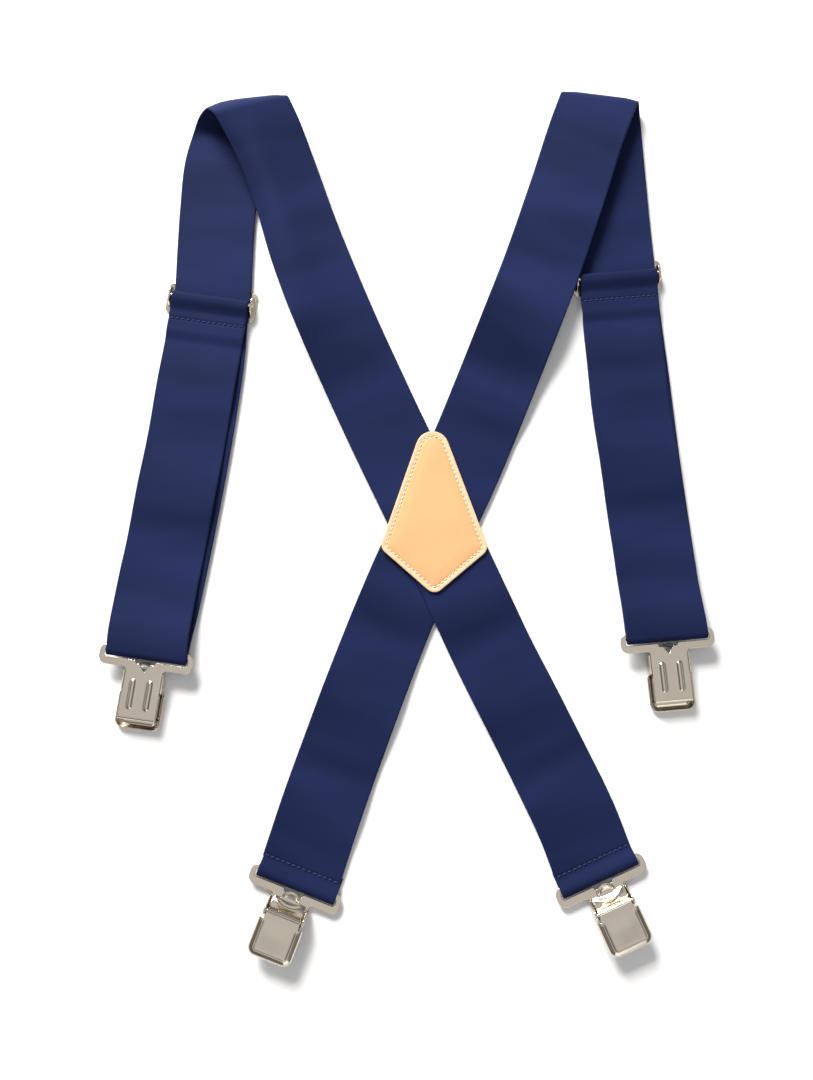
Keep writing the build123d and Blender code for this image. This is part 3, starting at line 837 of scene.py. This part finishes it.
def fold_row(lay, side, distance):
    """Row of the shoulder fold at a signed distance from the crease, positive on the back run."""
    low_z = FRONT_Z + HALF_T
    beta, bisector = fold_angles(lay)
    crease = Vector((*lay["crease"], 0))
    along, ruling = heading(bisector), across(bisector)
    drift = curve(BACK_DRIFT[side], distance) if distance > 0 else curve(RUN_DRIFT[side], -distance)

    def row(t):
        place, drop = curled(side, distance, t)
        place += drift
        n = distance * math.cos(beta) - place * math.sin(beta)
        c = distance * math.sin(beta) + place * math.cos(beta)
        radius = roll_radius(side, c)
        quarter = radius * math.pi / 2
        if n >= quarter:
            reach, height = n, low_z + 2 * radius - drop
        elif n <= -quarter:
            reach, height = -n, low_z + drop
        else:
            reach = quarter - (radius - drop) * math.cos(n / radius)
            height = low_z + radius + (radius - drop) * math.sin(n / radius)
            corner = smooth((abs(t) - ROLL_CORNER_FROM) / ROLL_CORNER_OVER)
            reach += ROLL_CORNER * corner * (1 - (n / quarter) ** 2) ** 2
        return crease + ruling * c + along * reach + Vector((0, 0, height))

    return row


def off_roll_row(lay, side, s):
    """Row of the back run, which still tilts and curls where it comes off the roll."""
    beta, _ = fold_angles(lay)
    share = smooth((s - FOLD_TO) / ROLL[side][2])
    lying = back_height(lay, side, s)
    drift = curve(BACK_DRIFT[side], s)
    flat = run_row(lay, "back", s, 0.0)

    def row(t):
        place, drop = curled(side, s, t)
        place += drift
        c = s * math.sin(beta) + place * math.cos(beta)
        rolled = FRONT_Z + HALF_T + 2 * roll_radius(side, c)
        return flat(place) + Vector((0, 0, rolled + (lying - rolled) * share - drop))

    return row


def back_height(lay, side, s):
    """Height of the back run's middle between the fold and the rear loop."""
    low = STRAP_T + LAYER_GAP + HALF_T
    cross = lay["cross_z"] + HALF_T
    table = [(lay["level_to"], lay["back_z"] + HALF_T), (CROSSING_FROM, cross), (CROSSING_TO, cross)]
    if cross - low > LAYER_GAP:
        table.append((CROSSING_TO + RISE, low))
    return eased(table, s) + swell(BACK_WAVES[side], s) - groove(s, lay["back_length"] - REAR_STITCH_AT)


def groove(s, seam):
    """How far a row of stitches pulls the webbing down."""
    return GROOVE * math.exp(-((s - seam) / GROOVE_HALF) ** 2)


def strap_rows(lay, side):
    """Rows of a strap from its rear hem, over the shoulder, to the seam on the front run."""
    end = lay["back_length"]
    loop_s = end - LOOP_R - HALF_T
    rise_to = loop_s - REAR_RISE
    profile = [(s, HALF_T) for s, _ in ramp((end - REAR_HEM, 0), (loop_s, 0), HEM_STEP)]
    profile += arc((loop_s, REAR_BAR_Z), LOOP_R, -90, 180)
    level = back_height(lay, side, rise_to)
    profile += ramp((loop_s, REAR_BAR_Z + LOOP_R), (rise_to, level), CLIMB_STEP)[1:]
    rows = [run_row(lay, "back", s, z) for s, z in profile]
    band_end = rise_to - GROOVE_BAND
    stations = ramp((rise_to, 0), (band_end, 0), GROOVE_STEP) + ramp((band_end, 0), (FOLD_TO, 0))
    rows += [off_roll_row(lay, side, s) for s, _ in stations]
    rows += [fold_row(lay, side, s) for s, _ in ramp((FOLD_TO, 0), (-SEAM_AT, 0), FOLD_STEP)]
    return rows + [fold_row(lay, side, -SEAM_AT)]


def running_rows(lay, side):
    """Rows of the layer that runs from the seam, through the slide, to the underside of the front loop."""
    loop_s = lay["front_length"] - LOOP_R - HALF_T
    low = FRONT_Z + HALF_T
    loop_low = FRONT_BAR_Z - LOOP_R
    rise_from = loop_s - RUN_RISE
    profile = ramp((SEAM_AT, low), (rise_from, low))
    profile += ramp((rise_from, low), (loop_s - RUN_LEVEL[0], loop_low), 1.0)
    profile += [(loop_s - back, loop_low) for back in RUN_LEVEL]
    return [run_row(lay, "front", s, z, curve(RUN_DRIFT[side], s)) for s, z in profile]


def tail_rows(lay, side):
    """Rows of the layer that turns round the ring, comes back to the slide and is sewn round its bar."""
    loop_s = lay["front_length"] - LOOP_R - HALF_T
    hem_z = TAIL_Z + HALF_T
    sewn = TAIL_Z + STRAP_T + LAYER_GAP + HALF_T
    bar_s = lay["slide_at"] + BAR_BEHIND_FOLD
    hem_end = lay["slide_at"] + TAIL_HEM
    laid_to = (loop_s - 2 * RISE, hem_z)
    climb_from = (hem_end + HEM_CLIMB[0], hem_z)
    climb_to = (hem_end + HEM_CLIMB[1], sewn)
    mount_from = (bar_s + BAR_CLIMB[0], sewn)
    mount_to = (bar_s + BAR_CLIMB[1], SLIDE_BAR_Z + TAIL_R)
    outer = [(loop_s - back, FRONT_BAR_Z - LOOP_R) for back in TAIL_LEVEL]
    outer += arc((loop_s, FRONT_BAR_Z), LOOP_R, -90, 180)
    outer += ramp((loop_s - TAIL_LEVEL[1], FRONT_BAR_Z + LOOP_R), laid_to, HEM_STEP)
    outer += ramp(laid_to, climb_from)
    outer += ramp(climb_from, climb_to, SEWN_STEPS[0])
    outer += ramp(climb_to, mount_from, SEWN_STEPS[1])
    outer += ramp(mount_from, mount_to, CLIMB_STEP)
    profile = []
    for s, z in outer:
        seam = groove(s, lay["slide_at"] + TAIL_STITCH_AT)
        profile.append((s, z + (swell(TAIL_WAVES[side], s) if s > climb_from[0] else -seam)))
    profile += arc((bar_s, SLIDE_BAR_Z), TAIL_R, 90, 180)
    profile += ramp((bar_s + BAR_EXIT, hem_z), (hem_end, hem_z), HEM_STEP)
    return [run_row(lay, "front", s, z, curve(TAIL_DRIFT[side], s)) for s, z in profile]


def stitch_row(name, lay, run, distance, height, drift):
    """Row of stitches across a run."""
    side = across(lay[f"{run}_deg"])
    centre = run_point(lay, run, distance, height, drift)
    half = side * ROW_STITCH / 2
    parts = []
    for k in range(ROW_COUNT):
        middle = centre + side * (k - (ROW_COUNT - 1) / 2) * ROW_PITCH
        parts.append(stitch(middle - half, middle + half, (0, 0, 1)))
    return linked(name, make_mesh(name, *joined(*parts), NAVY_THREAD))


# ---- patches
def seam_points(outline):
    """Ends of the patch's stitches, evenly spaced along a line inside its edge."""
    line = densify(inset(densify(outline, 0.5), PATCH_SEAM_IN), 0.5)
    total = sum((b - a).length for a, b in pairs(line))
    count = round(total / PATCH_PITCH)
    pitch = total / count
    gap = pitch * (1 - PATCH_STITCH / PATCH_PITCH)
    marks = []
    for k in range(count):
        marks += [k * pitch, (k + 1) * pitch - gap]
    found, walked = [], 0.0
    for a, b in pairs(line):
        length = (b - a).length
        while marks and marks[0] <= walked + length:
            found.append(a.lerp(b, (marks.pop(0) - walked) / length))
        walked += length
    return list(zip(found[::2], found[1::2]))


def patch_piece(name, base_z, thickness, seam):
    """Leather patch with a pale border attribute. With a seam, its face bulges and dips at the stitches."""
    holes = [p for pair in seam for p in pair]
    around = []
    for centre in holes:
        for radius, count in HOLE_RINGS:
            for angle in spaced(0.0, math.pi / 3, count):
                around.append((centre.x + radius * math.cos(angle), centre.y + radius * math.sin(angle)))
    middle = base_z + thickness / 2
    points, faces = stamped([OUTLINE], thickness, PATCH_STEP, lambda x, y, z: (x, y, middle + z),
                            PATCH_EDGE_R, around)
    points = np.array(points)
    flat = points[:, :2]
    depth = edge_distance(flat, [densify(OUTLINE, 1.0)])
    if seam:
        share = np.clip((depth - PATCH_SEAM_IN) / PATCH_PILLOW_REACH, 0, 1)
        change = PATCH_PILLOW * share * share * (3 - 2 * share)
        change -= PATCH_DIP * np.exp(-((depth - PATCH_SEAM_IN) / SEAM_HALF) ** 2)
        nearest = np.linalg.norm(flat[:, None] - array_of(holes)[None], axis=2).min(axis=1)
        change -= PATCH_PRICK * np.exp(-(nearest / HOLE_R) ** 2)
        points[:, 2] += np.where(points[:, 2] > middle, change, 0.0)
    mesh = make_mesh(name, points, faces, LEATHER, PATCH_SHARP_DEG)
    pale = np.clip((PATCH_SEAM_IN + BORDER_OVER - depth) / SEAM_HALF, 0, 1)
    mesh.attributes.new("border", "FLOAT", "POINT").data.foreach_set("value", pale.astype(np.float32))
    return linked(name, mesh)


# ---- clip parts
def bend(flat, core, radius):
    """Place (along, up) and direction angle of a flat coordinate that bends up beyond core."""
    over = flat - core
    if over <= 0:
        return flat, 0.0, 0.0
    quarter = radius * math.pi / 2
    if over < quarter:
        angle = over / radius
        return core + radius * math.sin(angle), radius * (1 - math.cos(angle)), angle
    return core + radius, radius + over - quarter, math.pi / 2


def plate_shape(x, y, z):
    """Flat plate to its pressed shape: ribs on the outside, lip and ears bent up."""
    if y > LIP_CORE:
        place, up, angle = bend(y, LIP_CORE, LIP_BEND_R)
        return (x, place - z * math.sin(angle), up + z * math.cos(angle))
    if abs(x) > EAR_CORE and EAR_FROM - EAR_ROOM < y < EAR_TO + EAR_ROOM:
        place, up, angle = bend(abs(x), EAR_CORE, EAR_BEND_R)
        place -= z * math.sin(angle)
        return (math.copysign(place, x), y, up + z * math.cos(angle))
    beyond = max(RIB_FROM - y, y - RIB_TO, 0.0)
    off_rib = math.hypot(abs(x) - RIB_X, beyond)
    rib = RIB_HEIGHT * smooth((RIB_HALF + RIB_SOFT - off_rib) / RIB_FLANK)
    return (x, y, z - rib)


def plate_mesh():
    """Stamped back plate: ring, notch and V, body, lip and ears, all from one sheet."""
    outline = symmetric([
        (RING_HALF, RING_TOP, RING_CORNER_R), (RING_HALF, RING_BOTTOM, RING_CORNER_R),
        (BODY_HALF, RING_BOTTOM, RING_FILLET_R), (BODY_HALF, EAR_FROM, CRISP_R),
        (EAR_CORE + EAR_ROOT[0], EAR_FROM, EAR_ROOT[1]), (EAR_TIP, PIN_Y - EAR_TIP_R, EAR_TIP_CORNER_R),
        (EAR_TIP, PIN_Y + EAR_TIP_R, EAR_TIP_CORNER_R), (EAR_CORE + EAR_HEEL[0], EAR_TO, EAR_HEEL[1]),
        (BODY_HALF, EAR_TO, CRISP_R), (BODY_HALF, LIP_END, 0.5)])
    left = [(-SLOT_HALF, SLOT_TOP, SLOT_CORNER_R), (-SLOT_HALF, SLOT_BOTTOM, SLOT_CORNER_R),
            (-NOTCH_HALF, SLOT_BOTTOM, CRISP_R), (-NOTCH_HALF + 0.8, NOTCH_Y, 0.5), (-V_HALF, NOTCH_Y, 0.4)]
    slot = left + [(0, V_TIP, 0.4)] + mirrored(left)
    rib_rows = [RIB_FROM - 2 + (RIB_TO - RIB_FROM + 4) * k / RIB_ROWS for k in range(RIB_ROWS + 1)]
    spots = [(side * RIB_X + place, y) for side in (-1, 1) for y in rib_rows for place in RIB_PLACES]
    spots += lattice(spaced(-BODY_HALF + 0.9, BEND_PITCH, 45), [LIP_CORE + over for over in LIP_PLACES])
    spots += [(side * (EAR_CORE + over), y) for side in (-1, 1) for y in spaced(EAR_FROM + 0.8, 0.47, 22)
              for over in EAR_PLACES]
    return stamped([rounded(outline), rounded(slot)], SHEET_T, PLATE_STEP, plate_shape, extra=spots)


def lever_shape(x, y, z):
    """Flat lever to its shape: barrel rolled round the pin, rim drawn down on three sides."""
    if y < PIN_Y:
        angle = (PIN_Y - y) / BARREL_R
        radius = BARREL_R + z
        return (x, PIN_Y - radius * math.sin(angle), PIN_Z + radius * math.cos(angle))
    corner_x, corner_y = LEVER_CORE - LEVER_CORE_R, LEVER_CORE_END - LEVER_CORE_R
    off_x, off_y = abs(x) - corner_x, y - corner_y
    if off_x > 0 and off_y > 0:
        length = math.hypot(off_x, off_y)
        over = length - LEVER_CORE_R
        out = (math.copysign(off_x / length, x), off_y / length)
    elif abs(x) - LEVER_CORE > y - LEVER_CORE_END:
        over = abs(x) - LEVER_CORE
        out = (math.copysign(1.0, x), 0.0)
    else:
        over = y - LEVER_CORE_END
        out = (0.0, 1.0)
    from_mouth, from_shoulder, from_side = DOME_REACH
    dome = LEVER_DOME * smooth((LEVER_CORE_END + 1 - y) / from_mouth)
    dome *= smooth((y - LEVER_SHOULDER) / from_shoulder)
    dome *= smooth((LEVER_CORE - abs(x)) / from_side)
    face_z = LEVER_Z - LEVER_SUNK
    bead = LEVER_BEAD * math.exp(-((over + LEVER_BEAD_IN) / LEVER_BEAD_HALF) ** 2)
    bead *= smooth((y - LEVER_SHOULDER) / 3)
    if over <= 0:
        return (x, y, face_z + z + dome + bead)
    place, down, angle = bend(over, 0.0, RIM_BEND_R)
    base_x, base_y = x - out[0] * over, y - out[1] * over
    place += z * math.sin(angle)
    return (base_x + out[0] * place, base_y + out[1] * place, face_z - down + z * math.cos(angle))


def chamfered(half, bevel, scale):
    """Stations (x, scale) of a bar that is slightly smaller at its ends."""
    return ((-half, scale), (-half + bevel, 1.0), (half - bevel, 1.0), (half, scale))


def lever_mesh():
    """Cover lever from one sheet, with its cam as a second closed body."""
    half, end = LEVER_CORE + RIM_FLAT, LEVER_CORE_END + RIM_FLAT
    start = PIN_Y - BARREL_R * BARREL_WRAP
    barrel_r, neck_r, shoulder_r = LEVER_CORNERS
    outline = symmetric([(LEVER_NECK, start, barrel_r), (LEVER_NECK, LEVER_SHOULDER, neck_r),
                         (half, LEVER_SHOULDER, shoulder_r), (half, end, LEVER_CORE_R + RIM_FLAT)])
    spots = lattice(spaced(-LEVER_NECK + 0.6, BEND_PITCH, 44), spaced(start + 0.5, 0.36, 22))
    core = symmetric([(LEVER_CORE, LEVER_SHOULDER, 0), (LEVER_CORE, LEVER_CORE_END, LEVER_CORE_R)])
    for distance in spaced(0.1, 0.4, 7):
        border = densify(inset(rounded(core, 10), distance), 0.5)
        spots += [tuple(p) for p in border if p.y > LEVER_SHOULDER + 1]
    cover = stamped([rounded(outline, 14)], LEVER_T, LEVER_STEP, lever_shape, extra=spots)
    ring = [(PIN_Y - CAM_R, PIN_Z - 1.0), (PIN_Y - CAM_R, CAM_TIP_Z)]
    for angle in spaced(math.pi * 9 / 8, math.pi / 8, 7):
        ring.append((PIN_Y + CAM_R * math.cos(angle), CAM_TIP_Z + CAM_R * math.sin(angle)))
    ring += [(PIN_Y + CAM_R, CAM_TIP_Z), (PIN_Y + CAM_R, PIN_Z - 1.0)]
    cam = [[(x, PIN_Y + (y - PIN_Y) * scale, z + (1 - scale) * 0.5) for y, z in ring]
           for x, scale in chamfered(CAM_HALF, 0.2, 0.8)]
    return joined(cover, lofted(cam))


def jaw_shape(x, y, z):
    """Flat jaw to its shape: tab low on the ring, a rise under the cam, toothed edge bent down."""
    if y > JAW_CORE:
        place, down, angle = bend(y, JAW_CORE, JAW_BEND_R)
        return (x, place + z * math.sin(angle), JAW_HIGH - down + z * math.cos(angle))
    rise = smooth((y - JAW_TAB_TO) / (JAW_RISE_TO - JAW_TAB_TO))
    tab = JAW_TAB_TILT * max(0.0, JAW_TAB_TO - 1 - y)
    ring = math.hypot(x / JAW_RIDGE[0], (y - JAW_TAB_TO + 1) / JAW_RIDGE[1]) - 1
    ridge = JAW_RIDGE[2] * math.exp(-(ring / JAW_RIDGE[3]) ** 2) * smooth((y - JAW_TAB_TO) / 2)
    rim = math.hypot(x / JAW_TAB_HALF, (JAW_TAB_TO - y) / (JAW_TAB_TO - JAW_TAB_FROM)) - JAW_TAB_RIM[0]
    ridge += JAW_TAB_RIM[1] * math.exp(-(rim / JAW_TAB_RIM[2]) ** 2) * smooth((JAW_TAB_TO - y) / 1.5)
    return (x, y, JAW_LOW + (JAW_HIGH - JAW_LOW) * rise + z + tab + ridge)


def jaw_mesh():
    """Inner jaw: half-round tab with a raised rim, curved sheet, teeth."""
    outline = [(-JAW_TAB_HALF, JAW_TAB_TO, 0.5)]
    for k in range(1, 16):
        angle = math.pi + math.pi * k / 16
        outline.append((JAW_TAB_HALF * math.cos(angle),
                        JAW_TAB_TO + (JAW_TAB_TO - JAW_TAB_FROM) * math.sin(angle), 0))
    shoulder = [(JAW_HALF, JAW_TAB_TO + 0.2, 1.5), (JAW_HALF, JAW_TIP, CRISP_R)]
    outline += [(JAW_TAB_HALF, JAW_TAB_TO, 0.5), *shoulder]
    for x in spaced(TOOTH_COUNT / 2 * TOOTH_PITCH, -TOOTH_PITCH, TOOTH_COUNT):
        outline += [(x - 0.15, JAW_TIP - TOOTH_DEPTH, 0), (x - TOOTH_PITCH / 2, JAW_TIP + 0.1, 0)]
    outline += [(-TOOTH_COUNT / 2 * TOOTH_PITCH, JAW_TIP - TOOTH_DEPTH, 0), *mirrored(shoulder)]
    spots = lattice(spaced(-JAW_HALF + 0.8, 0.55, 35), [JAW_CORE + over for over in (-0.1, 0.25, 0.5)])
    spots += lattice(spaced(-JAW_HALF + 0.7, 0.42, 46), spaced(JAW_TAB_TO + 0.6, 0.4, 18))
    spots += lattice(spaced(-JAW_TAB_HALF + 0.3, 0.35, 33), spaced(JAW_TAB_FROM + 0.3, 0.35, 15))
    return stamped([rounded(outline)], JAW_T, JAW_STEP, jaw_shape, JAW_EDGE_R, spots)


def pin_mesh():
    """Riveted hinge pin with domed heads."""
    profile = []
    for k in range(6):
        angle = math.radians(90 * k / 6)
        profile.append((PIN_OUT + PIN_DOME * math.cos(angle), PIN_HEAD_R * math.sin(angle) + PIN_BEVEL))
    profile += [(PIN_OUT + 0.05, PIN_HEAD_R), (PIN_OUT + PIN_BEVEL, PIN_R), (-PIN_OUT - PIN_BEVEL, PIN_R)]
    profile += [(-x, r) for x, r in reversed(profile[:-2])]
    return turned(profile[::-1], (0, PIN_Y, PIN_Z))


def grip_mesh():
    """Pad with rounded ridges across."""
    base, face = SHEET_T / 2, SHEET_T / 2 + GRIP_BASE
    side = base + GRIP_BASE * 0.8
    section = [(GRIP_FROM, base), (GRIP_FROM, side), (GRIP_FROM + 0.15, face)]
    pitch = (GRIP_TO - GRIP_FROM - 0.4) / GRIP_RIDGES
    for k in range(GRIP_RIDGES):
        for j in range(1, 9):
            lift = (GRIP_TOP - GRIP_BASE) * math.sin(math.pi * j / 9)
            section.append((GRIP_FROM + 0.2 + pitch * (k + j / 9), face + lift))
    section += [(GRIP_TO - 0.15, face), (GRIP_TO, side), (GRIP_TO, base)]
    rings = [[(x, y, base + (z - base) * scale) for y, z in section]
             for x, scale in chamfered(GRIP_HALF, 0.25, 0.75)]
    return lofted(rings, clockwise=True)


# ---- slide parts
def slide_mesh():
    """Slide frame: windowed plate under the strap and a flange at each side."""
    half_h, half_w = SLIDE_HEIGHT / 2, WINDOW_HEIGHT / 2
    outline = symmetric([(SLIDE_HALF, -half_h, SLIDE_CORNER_R), (SLIDE_HALF, half_h, SLIDE_CORNER_R)])
    left = [(-WINDOW_HALF, -half_w, WINDOW_CORNER_R), (-WINDOW_HALF, half_w, WINDOW_CORNER_R)]
    plate = stamped([rounded(outline), rounded(left + mirrored(left))], SLIDE_T, SLIDE_STEP,
                    lambda x, y, z: (x, y, SLIDE_Z + z))
    flange = symmetric([(FLANGE_HALF, SLIDE_Z + 0.3, CRISP_R), (FLANGE_HALF - 2.5, FLANGE_TOP, 2.0)])
    left_points, left_faces = stamped([rounded(flange)], FLANGE_T, PLATE_STEP,
                                      lambda x, y, z: (-FLANGE_X - z, x, y))
    right = stamped([rounded(flange)], FLANGE_T, PLATE_STEP, lambda x, y, z: (FLANGE_X + z, x, y))
    return joined(plate, (left_points, [f[::-1] for f in left_faces]), right)


def bar_mesh():
    """Round bar with softened ends."""
    profile = [(-SLIDE_BAR_HALF, SLIDE_BAR_R * 0.7), (-SLIDE_BAR_HALF + 0.15, SLIDE_BAR_R * 0.93),
               (-SLIDE_BAR_HALF + 0.4, SLIDE_BAR_R), (SLIDE_BAR_HALF - 0.4, SLIDE_BAR_R),
               (SLIDE_BAR_HALF - 0.15, SLIDE_BAR_R * 0.93), (SLIDE_BAR_HALF, SLIDE_BAR_R * 0.7)]
    return turned(profile, (0, 0, SLIDE_BAR_Z))


def seat_matrix(origin, x_dir, z_dir):
    """Matrix of a seat, in metres."""
    y_dir = z_dir.cross(x_dir)
    matrix = Matrix((x_dir, y_dir, z_dir)).transposed().to_4x4()
    matrix.translation = origin * MM
    return matrix


def clip_seat(lay, run, distance, height, lever_up):
    """Matrix of a clip whose ring's bar lies across a run."""
    along = heading(lay[f"{run}_deg"])
    out = Vector((0, 0, 1 if lever_up else -1))
    return seat_matrix(run_point(lay, run, distance, height), along.cross(out), out)


def shown(obj, body, slot, *nodes):
    """Let an object ride on a body and stand for CAD nodes."""
    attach(obj, body)
    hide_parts(*nodes)


def placed(name, mesh, matrix, body, node, slot):
    """Object that shows a shared mesh at a seat and stands for a CAD node."""
    obj = linked(name, mesh)
    obj.matrix_world = matrix
    shown(obj, body, slot, node)


# ---- assembly
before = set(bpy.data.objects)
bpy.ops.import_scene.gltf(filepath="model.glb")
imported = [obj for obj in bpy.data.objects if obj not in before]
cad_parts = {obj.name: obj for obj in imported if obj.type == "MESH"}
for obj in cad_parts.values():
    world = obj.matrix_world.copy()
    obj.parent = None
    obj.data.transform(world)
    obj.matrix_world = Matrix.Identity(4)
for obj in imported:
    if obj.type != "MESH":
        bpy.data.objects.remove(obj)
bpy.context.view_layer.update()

WEBBING = webbing_material()
METAL = metal_material()
# Painted shade: dark nickel for the jaw's shaded faces
SHADED_JAW_METAL = plain_material("shaded_jaw_nickel", SHADED_JAW_TONES, dict(Scale=300.0, Detail=4.0), (0.2, 0.00004),
                            Metallic=1.0, Roughness=0.38)
LEATHER = leather_material()
NAVY_THREAD = thread_material("navy_thread", NAVY_THREAD_TONES)
CREAM_THREAD = thread_material("cream_thread", CREAM_THREAD_TONES)
PLASTIC = plain_material("grip_plastic", PLASTIC_TONES, dict(Scale=2500.0, Detail=2.0), (0.3, 0.00005),
                         Roughness=0.5)

for side in SIDES:
    lay = LAY[side]
    running_name = f"{side}_running_webbing"
    strap = ribbon(f"{side}_webbing", strap_rows(lay, side))
    shown(strap, "straps", "navy_webbing", *[f"{side}_strap_{stretch}" for stretch in STRETCHES])
    running = ribbon(running_name, running_rows(lay, side))
    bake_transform(running)
    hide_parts(f"{side}_strap_front", f"{side}_strap_bight")
    tail = ribbon(f"{side}_tail_webbing", tail_rows(lay, side))
    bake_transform(tail)
    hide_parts(f"{side}_strap_tail")

    tail_seam = lay["slide_at"] + TAIL_STITCH_AT
    tail_row = stitch_row(f"{side}_tail_thread", lay, "front", tail_seam,
                          TAIL_Z + 2 * STRAP_T + LAYER_GAP - GROOVE / 2, curve(TAIL_DRIFT[side], tail_seam))
    shown(tail_row, f"{side}_adjuster", "navy_thread", f"{side}_tail_stitches")
    hem_seam = lay["back_length"] - REAR_STITCH_AT
    hem_row = stitch_row(f"{side}_hem_thread", lay, "back", hem_seam, 2 * STRAP_T + LAYER_GAP - GROOVE / 2,
                         curve(BACK_DRIFT[side], hem_seam))
    shown(hem_row, "straps", "navy_thread", f"{side}_hem_stitches")

OUTLINE = rounded(PATCH_CORNERS, 10)
SEAM = seam_points(OUTLINE)
shown(patch_piece("crossing_leather", PATCH_Z, PATCH_T, SEAM), "straps", "tan_leather", "crossing_patch")
shown(patch_piece("backing_leather", 0.0, BACKING_T, []), "straps", "tan_leather", "backing_patch")
thread_z = PATCH_Z + PATCH_T - PATCH_THREAD_SUNK
threads = [stitch((*a, thread_z), (*b, thread_z), (0, 0, 1), PATCH_THREAD_R) for a, b in SEAM]
patch_thread = linked("patch_thread", make_mesh("patch_thread", *joined(*threads), CREAM_THREAD))
shown(patch_thread, "straps", "cream_thread", "patch_stitches")

CLIP_MESHES = {
    "plate": make_mesh("plate_stamping", *plate_mesh(), METAL),
    "pin": make_mesh("pin_turning", *pin_mesh(), METAL),
    "lever": make_mesh("lever_stamping", *lever_mesh(), METAL),
    "jaw": make_mesh("jaw_stamping", *jaw_mesh(), METAL),
    "grip": make_mesh("grip_moulding", *grip_mesh(), PLASTIC),
}
jaw = CLIP_MESHES["jaw"]
jaw.materials.append(SHADED_JAW_METAL)
# Painted shade: the jaw's faces towards the plate get the dark nickel
for polygon in jaw.polygons:
    if polygon.normal.z < INNER_NORMAL_Z:
        polygon.material_index = 1
SLIDE_MESHES = {
    "frame": ("slide_stamped", make_mesh("slide_stamping", *slide_mesh(), METAL)),
    "bar": ("slide_bar_turned", make_mesh("bar_turning", *bar_mesh(), METAL)),
}
CLIP_BODIES = {"plate": "clip", "pin": "clip", "grip": "clip", "lever": "lever", "jaw": "jaw"}

for side in SIDES:
    lay = LAY[side]
    other = "right" if side == "left" else "left"
    seats = {
        f"front_{side}": clip_seat(lay, "front", lay["front_length"] - BAR_TO_FOLD, FRONT_BAR_Z, False),
        f"rear_{other}": clip_seat(lay, "back", lay["back_length"] - BAR_TO_FOLD, REAR_BAR_Z, True),
    }
    for corner, matrix in seats.items():
        for kind, mesh in CLIP_MESHES.items():
            finish = "grip_plastic" if kind == "grip" else "nickel_plate"
            body = f"{corner}_{CLIP_BODIES[kind]}"
            placed(f"{corner}_{kind}_shown", mesh, matrix, body, f"{corner}_{kind}", finish)
    along = heading(lay["front_deg"])
    slide_origin = run_point(lay, "front", lay["slide_at"] + BAR_BEHIND_FOLD, drift=SLIDE_DRIFT[side])
    slide_seat = seat_matrix(slide_origin, along.cross(Vector((0, 0, 1))), Vector((0, 0, 1)))
    for kind, (name, mesh) in SLIDE_MESHES.items():
        placed(f"{side}_{name}", mesh, slide_seat, f"{side}_adjuster", f"{side}_slide_{kind}", "nickel_plate")

# ---- floor, light, camera
corners = [(-REACH, -REACH, 0), (REACH, -REACH, 0), (REACH, REACH, 0), (-REACH, REACH, 0)]
floor_mesh = bpy.data.meshes.new("floor")
floor_mesh.from_pydata(corners, [], [(0, 1, 2, 3)])
floor_mesh.materials.append(
    plain_material("pale_floor", FLOOR_TONES, dict(Scale=6.0, Detail=3.0), Roughness=0.9))
floor = linked("floor", floor_mesh)

for name, (location, target, size, power, colour) in LIGHTS.items():
    data = bpy.data.lights.new(name, "AREA")
    data.size = size
    data.energy = power
    data.color = colour
    light = linked(name, data)
    light.location = location
    light.rotation_euler = (Vector(target) - Vector(location)).to_track_quat("-Z", "Y").to_euler()

world = bpy.data.worlds.new("studio")
world.use_nodes = True
sky = world.node_tree
direction = sky.nodes.new("ShaderNodeTexCoord")
split = sky.nodes.new("ShaderNodeSeparateXYZ")
shade = sky.nodes.new("ShaderNodeValToRGB")
stops = shade.color_ramp.elements
for position, grey in SKY:
    stops.new(position).color = (grey, grey, grey * SKY_BLUE, 1)
stops.remove(stops[0])
stops.remove(stops[-1])
sky.links.new(direction.outputs["Generated"], split.inputs[0])
sky.links.new(split.outputs["Z"], shade.inputs["Fac"])
sky.links.new(shade.outputs["Color"], sky.nodes["Background"].inputs["Color"])
bpy.context.scene.world = world
bpy.context.scene.view_settings.view_transform = "Standard"

camera_data = bpy.data.cameras.new("camera")
camera_data.sensor_fit = "VERTICAL"
camera_data.sensor_height = SENSOR_HEIGHT
camera_data.lens = LENS
camera = linked("camera", camera_data)
camera.location = CAMERA_AT
camera.rotation_euler = (math.radians(CAMERA_TILT_DEG), 0, 0)
bpy.context.scene.camera = camera
